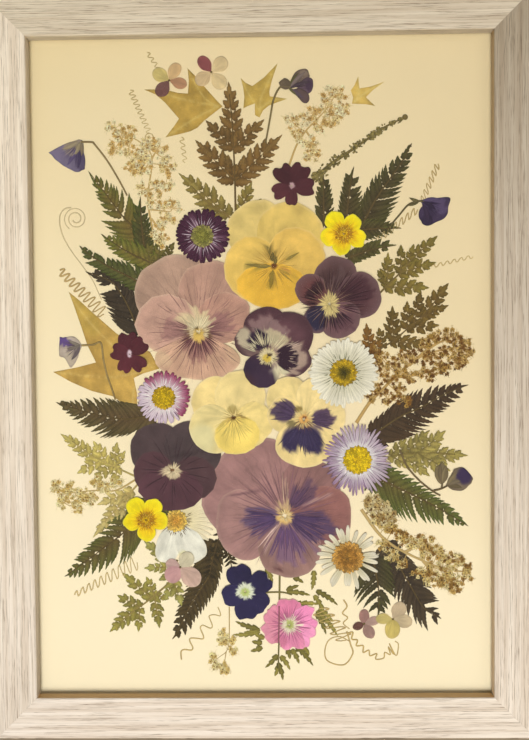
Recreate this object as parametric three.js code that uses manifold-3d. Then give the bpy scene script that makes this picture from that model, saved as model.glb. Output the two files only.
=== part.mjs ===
// A frame of pressed flowers. Millimetres, +Z up, the picture faces -Y.
// The origin is the middle of the frame's underside, on the middle plane of its depth.
// The picture is laid out in sheet coordinates: u to the right and v up from the centre of the window.
// The layout is drawn to the window's size, and LAYOUT_SCALE sets it to its real size on the sheet.

import * as THREE from 'three';
import { mergeVertices } from 'three/addons/utils/BufferGeometryUtils.js';
import Module from 'manifold-3d';

const wasm = await Module();
wasm.setup();

// ---- Driving dimensions -------------------------------------------------

const SHEET_WIDTH = 210;
const SHEET_HEIGHT = 297;
const SHEET_THICK = 0.6;
const MOULDING_WIDTH = 18;
const RAIL_DEPTH = 18;
const LIP_COVER = 5;
const LIP_THICK = 5;
const REBATE_CLEARANCE = 0.5;
const EDGE_SOFTENING = 0.6;
const MITRE_GAP = 0.1;
const GLASS_THICK = 2;
const GLASS_TRIM = 1;
const SPECIMEN_SPACE = 2.4;
const BOARD_THICK = 3;
const CONTACT_GAP = 0.05;

const SPECIMEN_THICK = 0.2;
const LAYER_PITCH = 0.28;
const LAYOUT_SCALE = 1.01;

const TAB_LENGTH = 15;
const TAB_WIDTH = 6;
const TAB_THICK = 0.5;
const TAB_DRIVEN = 4;
const CUT_GAP = 0.3;
const CUT_OVERRUN = 1;

const HANGER_LENGTH = 44;
const HANGER_HEIGHT = 9;
const HANGER_THICK = 0.8;
const HANGER_RISE = 1.4;
const HANGER_FOOT = 8;
const HANGER_RAMP = 3;
const TOOTH_COUNT = 9;
const TOOTH_PITCH = 2.4;
const TOOTH_DEPTH = 2.2;
const TOOTH_LAND = 0.2;
const NAIL_HEAD_RADIUS = 2;
const NAIL_HEAD_THICK = 0.7;
const NAIL_RADIUS = 0.7;
const NAIL_LENGTH = 8;
const NAIL_POINT = 2;
const ROUND_STEPS = 10;

// ---- Sizes that follow ----------------------------------------------------

const SIGHT_WIDTH = SHEET_WIDTH - 2 * LIP_COVER;
const SIGHT_HEIGHT = SHEET_HEIGHT - 2 * LIP_COVER;
const FRAME_WIDTH = SIGHT_WIDTH + 2 * MOULDING_WIDTH;
const FRAME_HEIGHT = SIGHT_HEIGHT + 2 * MOULDING_WIDTH;
const WALL_WIDTH = MOULDING_WIDTH - LIP_COVER - REBATE_CLEARANCE;
const HANGER_PROUD = CONTACT_GAP + HANGER_RISE + HANGER_THICK;
const FRONT_Y = -(RAIL_DEPTH + HANGER_PROUD) / 2;
const RAIL_BACK_Y = FRONT_Y + RAIL_DEPTH;
const GLASS_Y = FRONT_Y + LIP_THICK + CONTACT_GAP;
const SHEET_Y = GLASS_Y + GLASS_THICK + SPECIMEN_SPACE;
const BOARD_Y = SHEET_Y + SHEET_THICK + CONTACT_GAP;
const TAB_Y = BOARD_Y + BOARD_THICK + CONTACT_GAP;
const CENTRE_Z = FRAME_HEIGHT / 2;
const HANGER_Z = FRAME_HEIGHT - WALL_WIDTH / 2;

// ---- Finishes ---------------------------------------------------------------

function finish(color, roughness, metalness = 0) {
  return new THREE.MeshStandardMaterial({ color, roughness, metalness });
}

const limedWood = finish(0xe6dccb, 0.6);
const clearGlass = finish(0xe8efea, 0.05);
clearGlass.transparent = true;
clearGlass.opacity = 0.3;
const creamCard = finish(0xf3e4c0, 0.9);
const hardboard = finish(0x8a6a48, 0.8);
const steel = finish(0xa9a9a5, 0.35, 1);

const petal = {
  yellow: finish(0xd9c258, 0.8),
  buttercup: finish(0xe6cf10, 0.4),
  mauve: finish(0xa07f7c, 0.8),
  dark: finish(0x45303a, 0.8),
  white: finish(0xe2ddd0, 0.8),
  magenta: finish(0x9a5a72, 0.8),
  maroon: finish(0x522a30, 0.8),
  blue: finish(0x2f2a4c, 0.8),
  pink: finish(0xcf7fa6, 0.8),
};

const leaf = {
  dark: finish(0x4a3b28, 0.85),
  green: finish(0x5c6428, 0.85),
  olive: finish(0x8a7d3e, 0.85),
  ochre: finish(0xb3954e, 0.85),
};

// ---- Making and cutting solids -----------------------------------------------

const frame = new THREE.Group();

function add(name, geometry, material, x = 0, y = 0, z = 0) {
  const mesh = new THREE.Mesh(geometry, material);
  mesh.name = name;
  mesh.position.set(x, y, z);
  frame.add(mesh);
}

function solidOf(geometry) {
  const bare = geometry.clone();
  bare.deleteAttribute('normal');
  bare.deleteAttribute('uv');
  const merged = mergeVertices(bare, 1e-4);
  return new wasm.Manifold(new wasm.Mesh({
    numProp: 3,
    vertProperties: new Float32Array(merged.attributes.position.array),
    triVerts: new Uint32Array(merged.index.array),
  }));
}

function geometryOf(solid) {
  const mesh = solid.getMesh();
  const geometry = new THREE.BufferGeometry();
  geometry.setAttribute('position', new THREE.BufferAttribute(mesh.vertProperties, 3));
  geometry.setIndex(new THREE.BufferAttribute(mesh.triVerts, 1));
  return geometry;
}

function cut(geometry, tools) {
  const solid = tools.reduce((rest, tool) => rest.subtract(solidOf(tool)), solidOf(geometry));
  return geometryOf(solid);
}

function box(width, depth, height, x = 0, y = 0, z = 0) {
  return new THREE.BoxGeometry(width, depth, height).translate(x, y, z);
}

// An outline drawn on the sheet, given thickness towards the front.
function slab(points, thickness) {
  const shape = new THREE.Shape(points.map(([u, v]) => new THREE.Vector2(u, v)));
  const geometry = new THREE.ExtrudeGeometry(shape, { depth: thickness, bevelEnabled: false });
  return geometry.rotateX(Math.PI / 2);
}

// ---- The four rails ------------------------------------------------------------

// Section of the moulding: across is measured inwards from the outer edge, deep from the front face.
function railSection() {
  const soft = EDGE_SOFTENING;
  return [
    [0, soft], [soft, 0], [MOULDING_WIDTH - soft, 0], [MOULDING_WIDTH, soft],
    [MOULDING_WIDTH, LIP_THICK], [WALL_WIDTH, LIP_THICK], [WALL_WIDTH, RAIL_DEPTH], [0, RAIL_DEPTH],
  ];
}

// A rail along X as the bottom one lies: its ends are cut at 45 degrees, so it gets shorter inwards.
function railGeometry(length) {
  const shape = new THREE.Shape(railSection().map(([across, deep]) => new THREE.Vector2(across, deep)));
  const geometry = new THREE.ExtrudeGeometry(shape, { depth: 1, bevelEnabled: false });
  const position = geometry.attributes.position;
  for (let i = 0; i < position.count; i += 1) {
    const across = position.getX(i);
    const deep = position.getY(i);
    const end = position.getZ(i) > 0.5 ? -1 : 1;
    position.setXYZ(i, end * (length / 2 - across - MITRE_GAP), FRONT_Y + deep, across);
  }
  return geometry;
}

// Turns a rail, and what is cut into it, about the middle of the picture to its own side.
function turnToSide(geometry, side) {
  const quarterTurns = { bottom: 0, right: 1, top: 2, left: 3 }[side];
  const reach = quarterTurns % 2 ? FRAME_WIDTH / 2 : FRAME_HEIGHT / 2;
  geometry.translate(0, 0, -reach);
  geometry.rotateY(-quarterTurns * Math.PI / 2);
  return geometry.translate(0, 0, CENTRE_Z);
}

// The slot starts outside the rebate wall, where the tab comes out of it.
function tabSlot(along) {
  const width = TAB_WIDTH + 2 * CUT_GAP;
  const thick = TAB_THICK + 2 * CUT_GAP;
  const deep = TAB_DRIVEN + CUT_GAP + CUT_OVERRUN;
  const middle = WALL_WIDTH + CUT_OVERRUN - deep / 2;
  return box(width, thick, deep, along, TAB_Y + TAB_THICK / 2, middle);
}

function nailBore(depth) {
  const radius = NAIL_RADIUS + CUT_GAP;
  return new THREE.CylinderGeometry(radius, radius, depth, ROUND_STEPS);
}

function nailHole(along) {
  const depth = NAIL_LENGTH + CUT_GAP + CUT_OVERRUN;
  const middle = RAIL_BACK_Y + CUT_OVERRUN - depth / 2;
  return nailBore(depth).translate(along, middle, FRAME_HEIGHT - HANGER_Z);
}

const TAB_PLACES = { bottom: [0], right: [-80, 80], top: [0], left: [-80, 80] };
const NAIL_OFFSET = HANGER_LENGTH / 2 - HANGER_FOOT / 2;

function addRails() {
  for (const side of ['bottom', 'right', 'top', 'left']) {
    const length = side === 'bottom' || side === 'top' ? FRAME_WIDTH : FRAME_HEIGHT;
    const cuts = TAB_PLACES[side].map(tabSlot);
    if (side === 'top') cuts.push(nailHole(-NAIL_OFFSET), nailHole(NAIL_OFFSET));
    add(`rail_${side}`, turnToSide(cut(railGeometry(length), cuts), side), limedWood);
  }
}

// ---- Glass, sheet and back board -------------------------------------------------

function addPlate(name, width, thick, height, frontY, material) {
  add(name, box(width, thick, height), material, 0, frontY + thick / 2, CENTRE_Z);
}

function addPlates() {
  const glassWidth = SHEET_WIDTH - GLASS_TRIM;
  const glassHeight = SHEET_HEIGHT - GLASS_TRIM;
  addPlate('glass', glassWidth, GLASS_THICK, glassHeight, GLASS_Y, clearGlass);
  addPlate('sheet', SHEET_WIDTH, SHEET_THICK, SHEET_HEIGHT, SHEET_Y, creamCard);
  addPlate('back_board', SHEET_WIDTH, BOARD_THICK, SHEET_HEIGHT, BOARD_Y, hardboard);
}

// ---- Bendable tabs that hold the back board -----------------------------------------

// A flat strip with a rounded nose: one end is driven into the rebate wall, the nose lies on the board.
function tabGeometry(along) {
  const half = TAB_WIDTH / 2;
  const nose = TAB_LENGTH - TAB_DRIVEN;
  const outline = [[-half, -TAB_DRIVEN], [half, -TAB_DRIVEN]];
  const noseSteps = 8;
  for (let i = 0; i <= noseSteps; i += 1) {
    const angle = Math.PI * i / noseSteps;
    outline.push([half * Math.cos(angle), nose - half + half * Math.sin(angle)]);
  }
  return slab(outline, TAB_THICK).translate(along, TAB_Y + TAB_THICK, WALL_WIDTH);
}

function addTabs() {
  for (const [side, places] of Object.entries(TAB_PLACES)) {
    places.forEach((along, i) => {
      const name = places.length > 1 ? `tab_${side}_${i + 1}` : `tab_${side}`;
      add(name, turnToSide(tabGeometry(along), side), steel);
    });
  }
}

// ---- Sawtooth hanger and its nails ------------------------------------------------------

// Seen from above, the strip lies on the rail at both ends and stands clear of it between them.
function hangerStrip() {
  const half = HANGER_LENGTH / 2;
  const footEnd = half - HANGER_FOOT;
  const rampEnd = footEnd - HANGER_RAMP;
  const under = [
    [-half, 0], [-footEnd, 0], [-rampEnd, HANGER_RISE],
    [rampEnd, HANGER_RISE], [footEnd, 0], [half, 0],
  ];
  const over = under.map(([x, y]) => [x, y + HANGER_THICK]).reverse();
  const shape = new THREE.Shape([...under, ...over].map(([x, y]) => new THREE.Vector2(x, y)));
  const strip = new THREE.ExtrudeGeometry(shape, { depth: HANGER_HEIGHT, bevelEnabled: false });
  return strip.translate(0, 0, -HANGER_HEIGHT / 2);
}

// One notch of the sawtooth edge, cut through the raised middle of the strip from below.
function toothCut(x) {
  const half = TOOTH_PITCH / 2 - TOOTH_LAND / 2;
  const low = -HANGER_HEIGHT / 2;
  const under = low - CUT_OVERRUN;
  const outline = [
    [x - half, under], [x + half, under], [x + half, low],
    [x, low + TOOTH_DEPTH], [x - half, low],
  ];
  const through = HANGER_RISE + HANGER_THICK + CUT_OVERRUN;
  return slab(outline, through + CUT_OVERRUN).translate(0, through, 0);
}

function hangerHole(x) {
  return nailBore(HANGER_THICK + 2 * CUT_OVERRUN).translate(x, HANGER_THICK / 2, 0);
}

// The nail's profile from its point to the crown of its head, on the axis at both ends.
function nailGeometry() {
  const profile = [
    [0, -NAIL_LENGTH], [NAIL_RADIUS, -NAIL_LENGTH + NAIL_POINT], [NAIL_RADIUS, 0],
    [NAIL_HEAD_RADIUS, 0], [NAIL_HEAD_RADIUS * 0.7, NAIL_HEAD_THICK * 0.8], [0, NAIL_HEAD_THICK],
  ];
  return new THREE.LatheGeometry(profile.map(([r, y]) => new THREE.Vector2(r, y)), ROUND_STEPS);
}

function addHanger() {
  const stripY = RAIL_BACK_Y + CONTACT_GAP;
  const cuts = [hangerHole(-NAIL_OFFSET), hangerHole(NAIL_OFFSET)];
  for (let i = 0; i < TOOTH_COUNT; i += 1) {
    cuts.push(toothCut((i - (TOOTH_COUNT - 1) / 2) * TOOTH_PITCH));
  }
  add('hanger', cut(hangerStrip(), cuts), steel, 0, stripY, HANGER_Z);
  const headY = stripY + HANGER_THICK + CONTACT_GAP;
  add('nail_left', nailGeometry(), steel, -NAIL_OFFSET, headY, HANGER_Z);
  add('nail_right', nailGeometry(), steel, NAIL_OFFSET, headY, HANGER_Z);
}

// ---- Pressed specimens: outlines ------------------------------------------------------------

// How far a petal reaches from the heart along one direction. The petal is an ellipse whose centre
// is offset by (u, v) from the heart, with its length pointing away from the heart.
function petalReach(direction, [u, v, halfLength, halfWidth]) {
  const away = Math.hypot(u, v);
  const angle = direction - Math.atan2(v, u);
  const a = (Math.cos(angle) / halfLength) ** 2 + (Math.sin(angle) / halfWidth) ** 2;
  const b = -2 * away * Math.cos(angle) / halfLength ** 2;
  const c = (away / halfLength) ** 2 - 1;
  const inside = b * b - 4 * a * c;
  return inside < 0 ? 0 : Math.max(0, (Math.sqrt(inside) - b) / (2 * a));
}

// The outline of a flower: in every direction, the furthest reach of its petals.
function blossomOutline([heartU, heartV], petals, steps = 40) {
  const eye = 1;
  return Array.from({ length: steps }, (_, i) => {
    const direction = 2 * Math.PI * i / steps;
    const reach = Math.max(eye, ...petals.map((one) => petalReach(direction, one)));
    return [heartU + reach * Math.cos(direction), heartV + reach * Math.sin(direction)];
  });
}

// A daisy's rim, with its rays as shallow scallops.
function daisyOutline([u, v], radius, rays = 16) {
  return Array.from({ length: 2 * rays }, (_, i) => {
    const direction = Math.PI * i / rays;
    const reach = i % 2 ? radius : radius * 0.94;
    return [u + reach * Math.cos(direction), v + reach * Math.sin(direction)];
  });
}

// A fern or divided leaf: leaflets in pairs along a bent midrib, longest at the share "widest" of it.
function frondOutline({ base, tip, bend = 0, width, pairs = 8, widest = 0.3, notch = 0.35, lean = 0.35 }) {
  const along = [tip[0] - base[0], tip[1] - base[1]];
  const length = Math.hypot(...along);
  const ahead = [along[0] / length, along[1] / length];
  const side = [-ahead[1], ahead[0]];
  const pointAt = (share, across, forward) => {
    const rib = across + 4 * bend * share * (1 - share);
    const run = length * share + forward;
    return [base[0] + ahead[0] * run + side[0] * rib, base[1] + ahead[1] * run + side[1] * rib];
  };
  const reachAt = (share) => (share < widest
    ? width * (0.5 + 0.5 * share / widest)
    : width * (1 - share) / (1 - widest));
  const edge = (sign) => Array.from({ length: pairs }, (_, i) => {
    const notchShare = i / pairs;
    const tipShare = (i + 0.5) / pairs;
    const reach = reachAt(tipShare);
    return [
      pointAt(notchShare, sign * notch * reachAt(notchShare), 0),
      pointAt(tipShare, sign * reach, lean * reach * (1 - tipShare)),
    ];
  }).flat();
  return [...edge(-1), pointAt(1, 0, 0), ...edge(1).reverse()];
}

// A stem as a ribbon of even width along a line of points.
function ribbonOutline(points, width) {
  const edge = (sign) => points.map(([u, v], i) => {
    const [beforeU, beforeV] = points[Math.max(0, i - 1)];
    const [afterU, afterV] = points[Math.min(points.length - 1, i + 1)];
    const length = Math.hypot(afterU - beforeU, afterV - beforeV);
    const acrossU = -(afterV - beforeV) / length;
    const acrossV = (afterU - beforeU) / length;
    return [u + sign * acrossU * width / 2, v + sign * acrossV * width / 2];
  });
  return [...edge(-1), ...edge(1).reverse()];
}

// ---- Pressed specimens: the collection ----------------------------------------------------------

// Each specimen is dried flat. Layer 0 lies on the sheet, and each layer above it is nearer the glass.
function press(name, material, layer, outlines) {
  const slabs = outlines.map((outline) => solidOf(slab(outline, SPECIMEN_THICK)));
  const whole = slabs.reduce((all, one) => all.add(one)).scale([LAYOUT_SCALE, 1, LAYOUT_SCALE]);
  add(name, geometryOf(whole), material, 0, SHEET_Y - CONTACT_GAP - layer * LAYER_PITCH, CENTRE_Z);
}

// Petals: offset of the petal's centre from the heart (u, v), half its length, half its width.
const BLOSSOMS = [
  ['pansy_yellow', petal.yellow, 4, [5.5, 44.5],
    [[-6.5, 15.5, 13, 13], [7.5, 13.5, 14, 14], [-9.5, -1.5, 12, 12],
     [9.5, 3.5, 12, 10], [-0.5, -8.5, 10, 14.5]]],
  ['pansy_mauve', petal.mauve, 3, [-27.5, 16.5],
    [[-10.5, 17.5, 16, 18], [5.5, 17, 14, 14], [-13.5, 3.5, 14, 13],
     [11, 6, 12, 11], [-0.5, -12, 9, 18.5]]],
  ['viola_two_tone', petal.dark, 7, [2.7, 5.5],
    [[-0.7, 12, 9.5, 10], [9.5, 9, 10, 10.5], [-8, 6.5, 6.5, 6.5],
     [10.5, -1.5, 8, 7.5], [-2.8, -6.2, 7.5, 8]]],
  ['viola_dark', petal.dark, 5, [29.5, 28],
    [[3, 11, 9.5, 9.5], [13.5, 3.5, 9.5, 10], [-7.5, 6, 7.5, 7], [-5, -6.5, 6.5, 6], [5, -7, 7.5, 9]]],
  ['pansy_pale', petal.yellow, 4, [-12.5, -21],
    [[-8, 7.5, 10, 11], [3, 9.5, 11, 11.5], [-9.5, -5, 10, 11], [8.5, -3, 8.5, 10], [1.5, -8, 8.5, 10.5]]],
  ['viola_yellow', petal.yellow, 5, [18, -22],
    [[-7, 9.5, 9, 9.5], [6, 9, 9, 9.5], [-8, 2, 8, 8], [10.5, 1, 8, 8], [0.5, -10.5, 10.5, 13]]],
  ['pansy_black', petal.dark, 3, [-39.5, -44.5],
    [[-7, 9.5, 11.5, 12], [9, 9.5, 12, 13], [-8.5, -1, 9, 10], [9.5, -3, 10, 9.5], [-1, -8, 9.5, 14.5]]],
  ['pansy_large', petal.mauve, 2, [9.5, -64.5],
    [[-15, 12, 19, 24], [11.5, 12, 12, 14], [-18.5, -4, 12, 16], [17, 0, 12.5, 13], [2, -14.5, 13, 14]]],
  ['buttercup_upper', petal.buttercup, 5, [36, 58.2],
    [[-4, 6, 4.4, 4.2], [3.8, 4.4, 4, 3.8], [5.8, -2, 4, 3.9], [-1, -5.4, 4, 3.9], [-6.3, -1.2, 4, 4]]],
  ['buttercup_lower', petal.buttercup, 5, [-51.5, -66],
    [[-4.5, 6, 4.3, 4.2], [3.3, 5.8, 4.2, 3.9], [-6.3, -0.8, 4, 3.8],
     [6, -0.3, 4.2, 3.9], [0.2, -5.4, 4.2, 4]]],
  ['verbena_upper', petal.maroon, 5, [13.5, 79],
    [[-3.5, 6, 5, 5], [4, 6.5, 5, 5], [6.5, -0.5, 5.2, 4.8], [0, -5.5, 5, 3.2], [-5.5, -2.2, 4.5, 4]]],
  ['verbena_left', petal.maroon, 4, [-57.8, 7],
    [[-0.5, 6, 4.9, 5.4], [4.8, 3.8, 4.9, 4.6], [-4.8, 1, 4.9, 4.4],
     [4.2, -4.6, 4.6, 3.9], [-2.3, -5.4, 4.4, 3.8]]],
  ['verbena_blue', petal.blue, 3, [-8.3, -98],
    [[-2.5, 7.5, 5.3, 5.6], [7, 4, 5.2, 5], [5.8, -4.6, 5.2, 4.6],
     [0.5, -7.8, 5, 5.2], [-5.8, -1.6, 5.2, 5]]],
  ['primrose_pink', petal.pink, 2, [11, -113],
    [[7, 2.5, 5.5, 6], [7, -4.5, 5.5, 5], [1, -7, 5.5, 5.5],
     [-7.5, -3, 5.5, 5.5], [-7, 4, 5.5, 4.5], [0, 7, 6, 5.5]]],
  ['floret_pink', petal.pink, 3, [-36.5, -87],
    [[-3.8, -3.2, 3.8, 3.8], [4.5, -4.5, 4.2, 4.3], [-3.5, 2.5, 3, 3], [3, 3.5, 3.5, 3.2]]],
];

const DAISIES = [
  ['daisy_dark', petal.dark, 5, [-25.3, 58], 12],
  ['daisy_white', petal.white, 6, [35.5, -1.8], 15.5],
  ['daisy_magenta', petal.magenta, 5, [-43, -12.2], 12],
  ['daisy_lilac', petal.white, 6, [41.3, -40], 15.8],
  ['daisy_brown', petal.white, 3, [37, -83], 14],
  ['daisy_cream', petal.white, 1, [-35.5, -70], 15.5],
];

const FRONDS = [
  ['fern_left_upper', leaf.green, 0, { base: [-45, 49], tip: [-74.5, 86.5], width: 11, pairs: 10, bend: -1 }],
  ['fern_left_green', leaf.green, 2, { base: [-50, 36], tip: [-78.5, 54.5], width: 7, pairs: 7 }],
  ['fern_left_dark', leaf.dark, 1, { base: [-57.5, 18.5], tip: [-76, 43.5], width: 7, pairs: 8, bend: -3.5 }],
  ['fern_left_mid', leaf.dark, 1, { base: [-51, -21], tip: [-90.3, -14], width: 8, pairs: 9, bend: 3 }],
  ['fern_lower_left', leaf.dark, 0, { base: [-55, -67], tip: [-88, -91], width: 11, pairs: 10 }],
  ['fern_bottom', leaf.dark, 0, { base: [-20, -76], tip: [-40.5, -119], width: 8, pairs: 9, bend: 3 }],
  ['fern_bottom_right', leaf.dark, 0, { base: [56, -81], tip: [75.5, -114.5], width: 13, pairs: 8 }],
  ['fern_right_green', leaf.green, 0, { base: [51, -50], tip: [89.3, -69.3], width: 11, pairs: 10, bend: 1 }],
  ['fern_right_dark', leaf.dark, 0, { base: [50, -28], tip: [89.5, -8], width: 11, pairs: 10 }],
  ['fern_right_top', leaf.dark, 0, { base: [46.5, 64.5], tip: [65.5, 96.5], width: 10, pairs: 8, bend: -1 }],
  ['leaf_pale_left', leaf.olive, 0, { base: [-64, -42], tip: [-90, -29], width: 11, pairs: 4, widest: 0.45 }],
  ['leaf_olive_right', leaf.olive, 1,
    { base: [57, -37.5], tip: [89, -38], width: 11, pairs: 4, widest: 0.6 }],
  ['sprig_right_upper', leaf.olive, 1,
    { base: [53, 32], tip: [76, 58], width: 12, pairs: 4, widest: 0.45 }],
  ['sprig_right_lower', leaf.olive, 0,
    { base: [49, 4.5], tip: [80, 36.5], width: 12, pairs: 5, widest: 0.4 }],
  ['parsley_left', leaf.olive, 0,
    { base: [-50, -100], tip: [-70, -117], width: 11, pairs: 4, stem: [[-43.5, -94], [-52, -101.5]] }],
];

const FERN_BROWN = [
  [-11.4, 69], [-10.2, 69], [-10.4, 83], [-4, 85], [4, 89], [8.5, 95], [4, 97], [10, 101.5], [9.5, 104],
  [1, 104], [2.5, 110.5], [-3, 114], [-6, 112], [-7.5, 117.5], [-10, 119], [-13, 124], [-14.5, 120],
  [-16, 119.5], [-17, 114.5], [-19.5, 113.5], [-19, 108], [-23.5, 110.5], [-23, 105], [-28, 103],
  [-24.5, 99.5], [-28.5, 98], [-24, 91], [-19, 86], [-11.8, 83],
];

const MAPLE_OCHRE = [
  [-31, 130.5], [-28, 127.5], [-22, 120.5], [-18, 116], [-16, 114], [-24, 108], [-27, 105], [-30, 103.5],
  [-34, 102.5], [-41, 101], [-37, 106], [-35, 109], [-38, 112.5], [-41, 116], [-45, 119.5], [-50, 121.7],
  [-46, 121.7], [-40, 121.3], [-35, 120], [-31, 119.7], [-30.5, 125],
];

const MAPLE_OLIVE = [
  [-8, 126], [-6, 124], [-3, 122.5], [2, 126], [8, 132], [5.5, 125], [4.3, 120], [4.5, 118], [8, 117.5],
  [12, 116.8], [8, 115.5], [4, 114], [1.5, 112], [0, 109], [-2, 110], [-2, 115], [-5, 114], [-7, 113],
  [-6.5, 118], [-7, 122],
];

const IVY_LEAF = [
  [-84.3, 34.5], [-80, 31], [-75, 26.3], [-68.5, 20.5], [-64, 16.5], [-57, 11], [-49, 8], [-45, 0.5],
  [-52, -1.5], [-56.3, -3.5], [-55, -10], [-55, -15.5], [-60, -15.5], [-65.5, -11.5], [-75, -9],
  [-84, -5], [-91.8, -0.5], [-82, 1.2], [-72.8, 3.5], [-76.5, 11], [-79, 19], [-82, 28],
];

const VIOLET_BUD = [
  [-92, 95], [-85, 98.5], [-80, 100], [-77, 100], [-76.5, 95], [-76, 90], [-77, 87.5], [-80, 86.5],
  [-85, 88.5], [-88, 91],
];
const VIOLET_BUD_STEM = [[-78, 99.5], [-73, 99.3], [-72, 98.5], [-67, 92], [-63, 85.5], [-60, 80], [-58, 76]];

const GREY_FLOWER = [
  [11, 125.5], [13, 124.5], [17, 129], [21, 129], [23, 124.5], [22.5, 122], [21, 119.5], [19, 114.7],
  [15.5, 117], [13.5, 121], [9, 123.5],
];
const GREY_FLOWER_STEM = [[13.5, 121.5], [10, 122], [8, 120.5], [6, 116], [5, 111], [3.5, 103], [2.5, 98]];

const VIOLET_FLOWER = [
  [69, 72.2], [75, 73.2], [82, 73.5], [81.5, 69.5], [80, 65], [76, 62.8], [73, 61.5], [69.5, 63],
  [68.5, 67], [70, 70.5],
];
const VIOLET_FLOWER_STEM = [[71, 72], [68, 72], [64, 70.5], [60, 66], [56.5, 62]];

const BUD_PAIR = [
  [[78, -41.5], [75.5, -44], [75.3, -48], [78, -51], [80.8, -48], [80.6, -44]],
  [[80, -51.5], [83, -45.5], [85, -44], [88, -44], [91.5, -48.5], [90.5, -51], [87.5, -53.5], [83, -53.5]],
];
const BUD_PAIR_STEMS = [
  [[60, -36], [63, -43], [68, -49], [74, -54], [77.5, -56]],
  [[74, -54], [78, -53], [81, -51.5]],
  [[78, -53], [78.5, -50]],
];
const STEM_WIDTH = 1;

function addSpecimens() {
  for (const [name, material, layer, heart, petals] of BLOSSOMS) {
    press(name, material, layer, [blossomOutline(heart, petals)]);
  }
  for (const [name, material, layer, centre, radius] of DAISIES) {
    press(name, material, layer, [daisyOutline(centre, radius)]);
  }
  for (const [name, material, layer, plan] of FRONDS) {
    const stem = plan.stem ? [ribbonOutline(plan.stem, STEM_WIDTH)] : [];
    press(name, material, layer, [frondOutline(plan), ...stem]);
  }
  press('fern_brown_top', leaf.olive, 1, [FERN_BROWN]);
  press('maple_ochre', leaf.ochre, 0, [MAPLE_OCHRE]);
  press('maple_olive', leaf.olive, 0, [MAPLE_OLIVE]);
  press('ivy_leaf', leaf.ochre, 0, [IVY_LEAF]);
  press('violet_bud', petal.blue, 1, [VIOLET_BUD, ribbonOutline(VIOLET_BUD_STEM, STEM_WIDTH)]);
  press('grey_flower', petal.mauve, 2, [GREY_FLOWER, ribbonOutline(GREY_FLOWER_STEM, STEM_WIDTH)]);
  press('violet_flower', petal.blue, 1, [VIOLET_FLOWER, ribbonOutline(VIOLET_FLOWER_STEM, STEM_WIDTH)]);
  const budStems = BUD_PAIR_STEMS.map((line) => ribbonOutline(line, STEM_WIDTH));
  press('bud_pair', petal.blue, 2, [...BUD_PAIR, ...budStems]);
}

// ---- Assembly --------------------------------------------------------------------------------------

addRails();
addPlates();
addTabs();
addHanger();
addSpecimens();

export default frame;
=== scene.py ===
# %% [markdown]
# # A frame of pressed flowers
# A shallow wooden frame holds a cream card under glass. Pansies, daisies, buttercups, ferns and
# tendrils, all dried flat, are fixed on the card in one round bunch. The frame is modelled first,
# then every plant. A plant is a thin mesh that is laid out in the card's own plane, because that is
# how a flower presser thinks of it.

import math

import bpy
import numpy as np
from mathutils import Matrix, Vector
from mathutils.geometry import delaunay_2d_cdt


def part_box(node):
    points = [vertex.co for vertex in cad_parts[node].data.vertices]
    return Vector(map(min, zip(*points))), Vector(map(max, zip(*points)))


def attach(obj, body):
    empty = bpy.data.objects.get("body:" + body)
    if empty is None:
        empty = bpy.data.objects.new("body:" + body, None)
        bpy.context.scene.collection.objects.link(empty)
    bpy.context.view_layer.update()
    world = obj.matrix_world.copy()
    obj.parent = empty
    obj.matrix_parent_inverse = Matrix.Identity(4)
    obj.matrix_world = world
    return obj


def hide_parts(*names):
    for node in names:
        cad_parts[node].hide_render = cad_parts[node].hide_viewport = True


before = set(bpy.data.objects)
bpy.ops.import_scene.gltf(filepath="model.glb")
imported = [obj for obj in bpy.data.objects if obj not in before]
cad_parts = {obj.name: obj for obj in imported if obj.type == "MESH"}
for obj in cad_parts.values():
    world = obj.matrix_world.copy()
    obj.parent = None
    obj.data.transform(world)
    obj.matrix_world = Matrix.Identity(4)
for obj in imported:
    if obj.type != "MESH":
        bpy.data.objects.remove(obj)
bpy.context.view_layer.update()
print("packed parts:", len(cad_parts))

# %% [markdown]
# The camera looks at the frame almost straight on, from about 35 cm. It is turned by a degree or
# two, as a camera held in the hand is.

# %% Camera


def add_object(name, data):
    made = bpy.data.objects.new(name, data)
    bpy.context.scene.collection.objects.link(made)
    return made


camera = add_object("camera", bpy.data.cameras.new("camera"))
camera.data.lens = 38.2
PITCH, YAW, ROLL = math.radians(-1.73), math.radians(1.02), math.radians(0.53)
turn = Matrix.Rotation(YAW, 4, "Z") @ Matrix.Rotation(math.pi / 2 + PITCH, 4, "X")
turn = turn @ Matrix.Rotation(-ROLL, 4, "Z")
camera.matrix_world = Matrix.Translation((0.0073, -0.3481, 0.1715)) @ turn
bpy.context.scene.camera = camera
print("camera at", tuple(round(x, 3) for x in camera.location))

# %% [markdown]
# Colours are written as the eye names them, 0 to 255 for red, green and blue. Blender calculates
# with linear light, so they are converted, and toned so that the lit card comes out as named.

# %% Colours
LIGHT_LEVEL = 1.12


def linear(rgb):
    share = np.asarray(rgb, float) / 255
    low = share / 12.92
    high = ((share + 0.055) / 1.055) ** 2.4
    return np.where(share <= 0.04045, low, high) / LIGHT_LEVEL


def rgba(rgb):
    return (*linear(rgb), 1.0)


def blend(tints, colour, amount):
    """Mixes a colour into a list of tints, by an amount for each of them."""
    return tints * (1 - amount[:, None]) + np.asarray(colour, float) * amount[:, None]


print("white card is", np.round(linear((255, 238, 206)), 3))


# %% [markdown]
# A material is a tree of nodes. It could be drawn by hand in the shader editor. Here a few helpers
# add the nodes, so that a finish can be read as a short recipe.

# %% Node helpers


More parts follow.
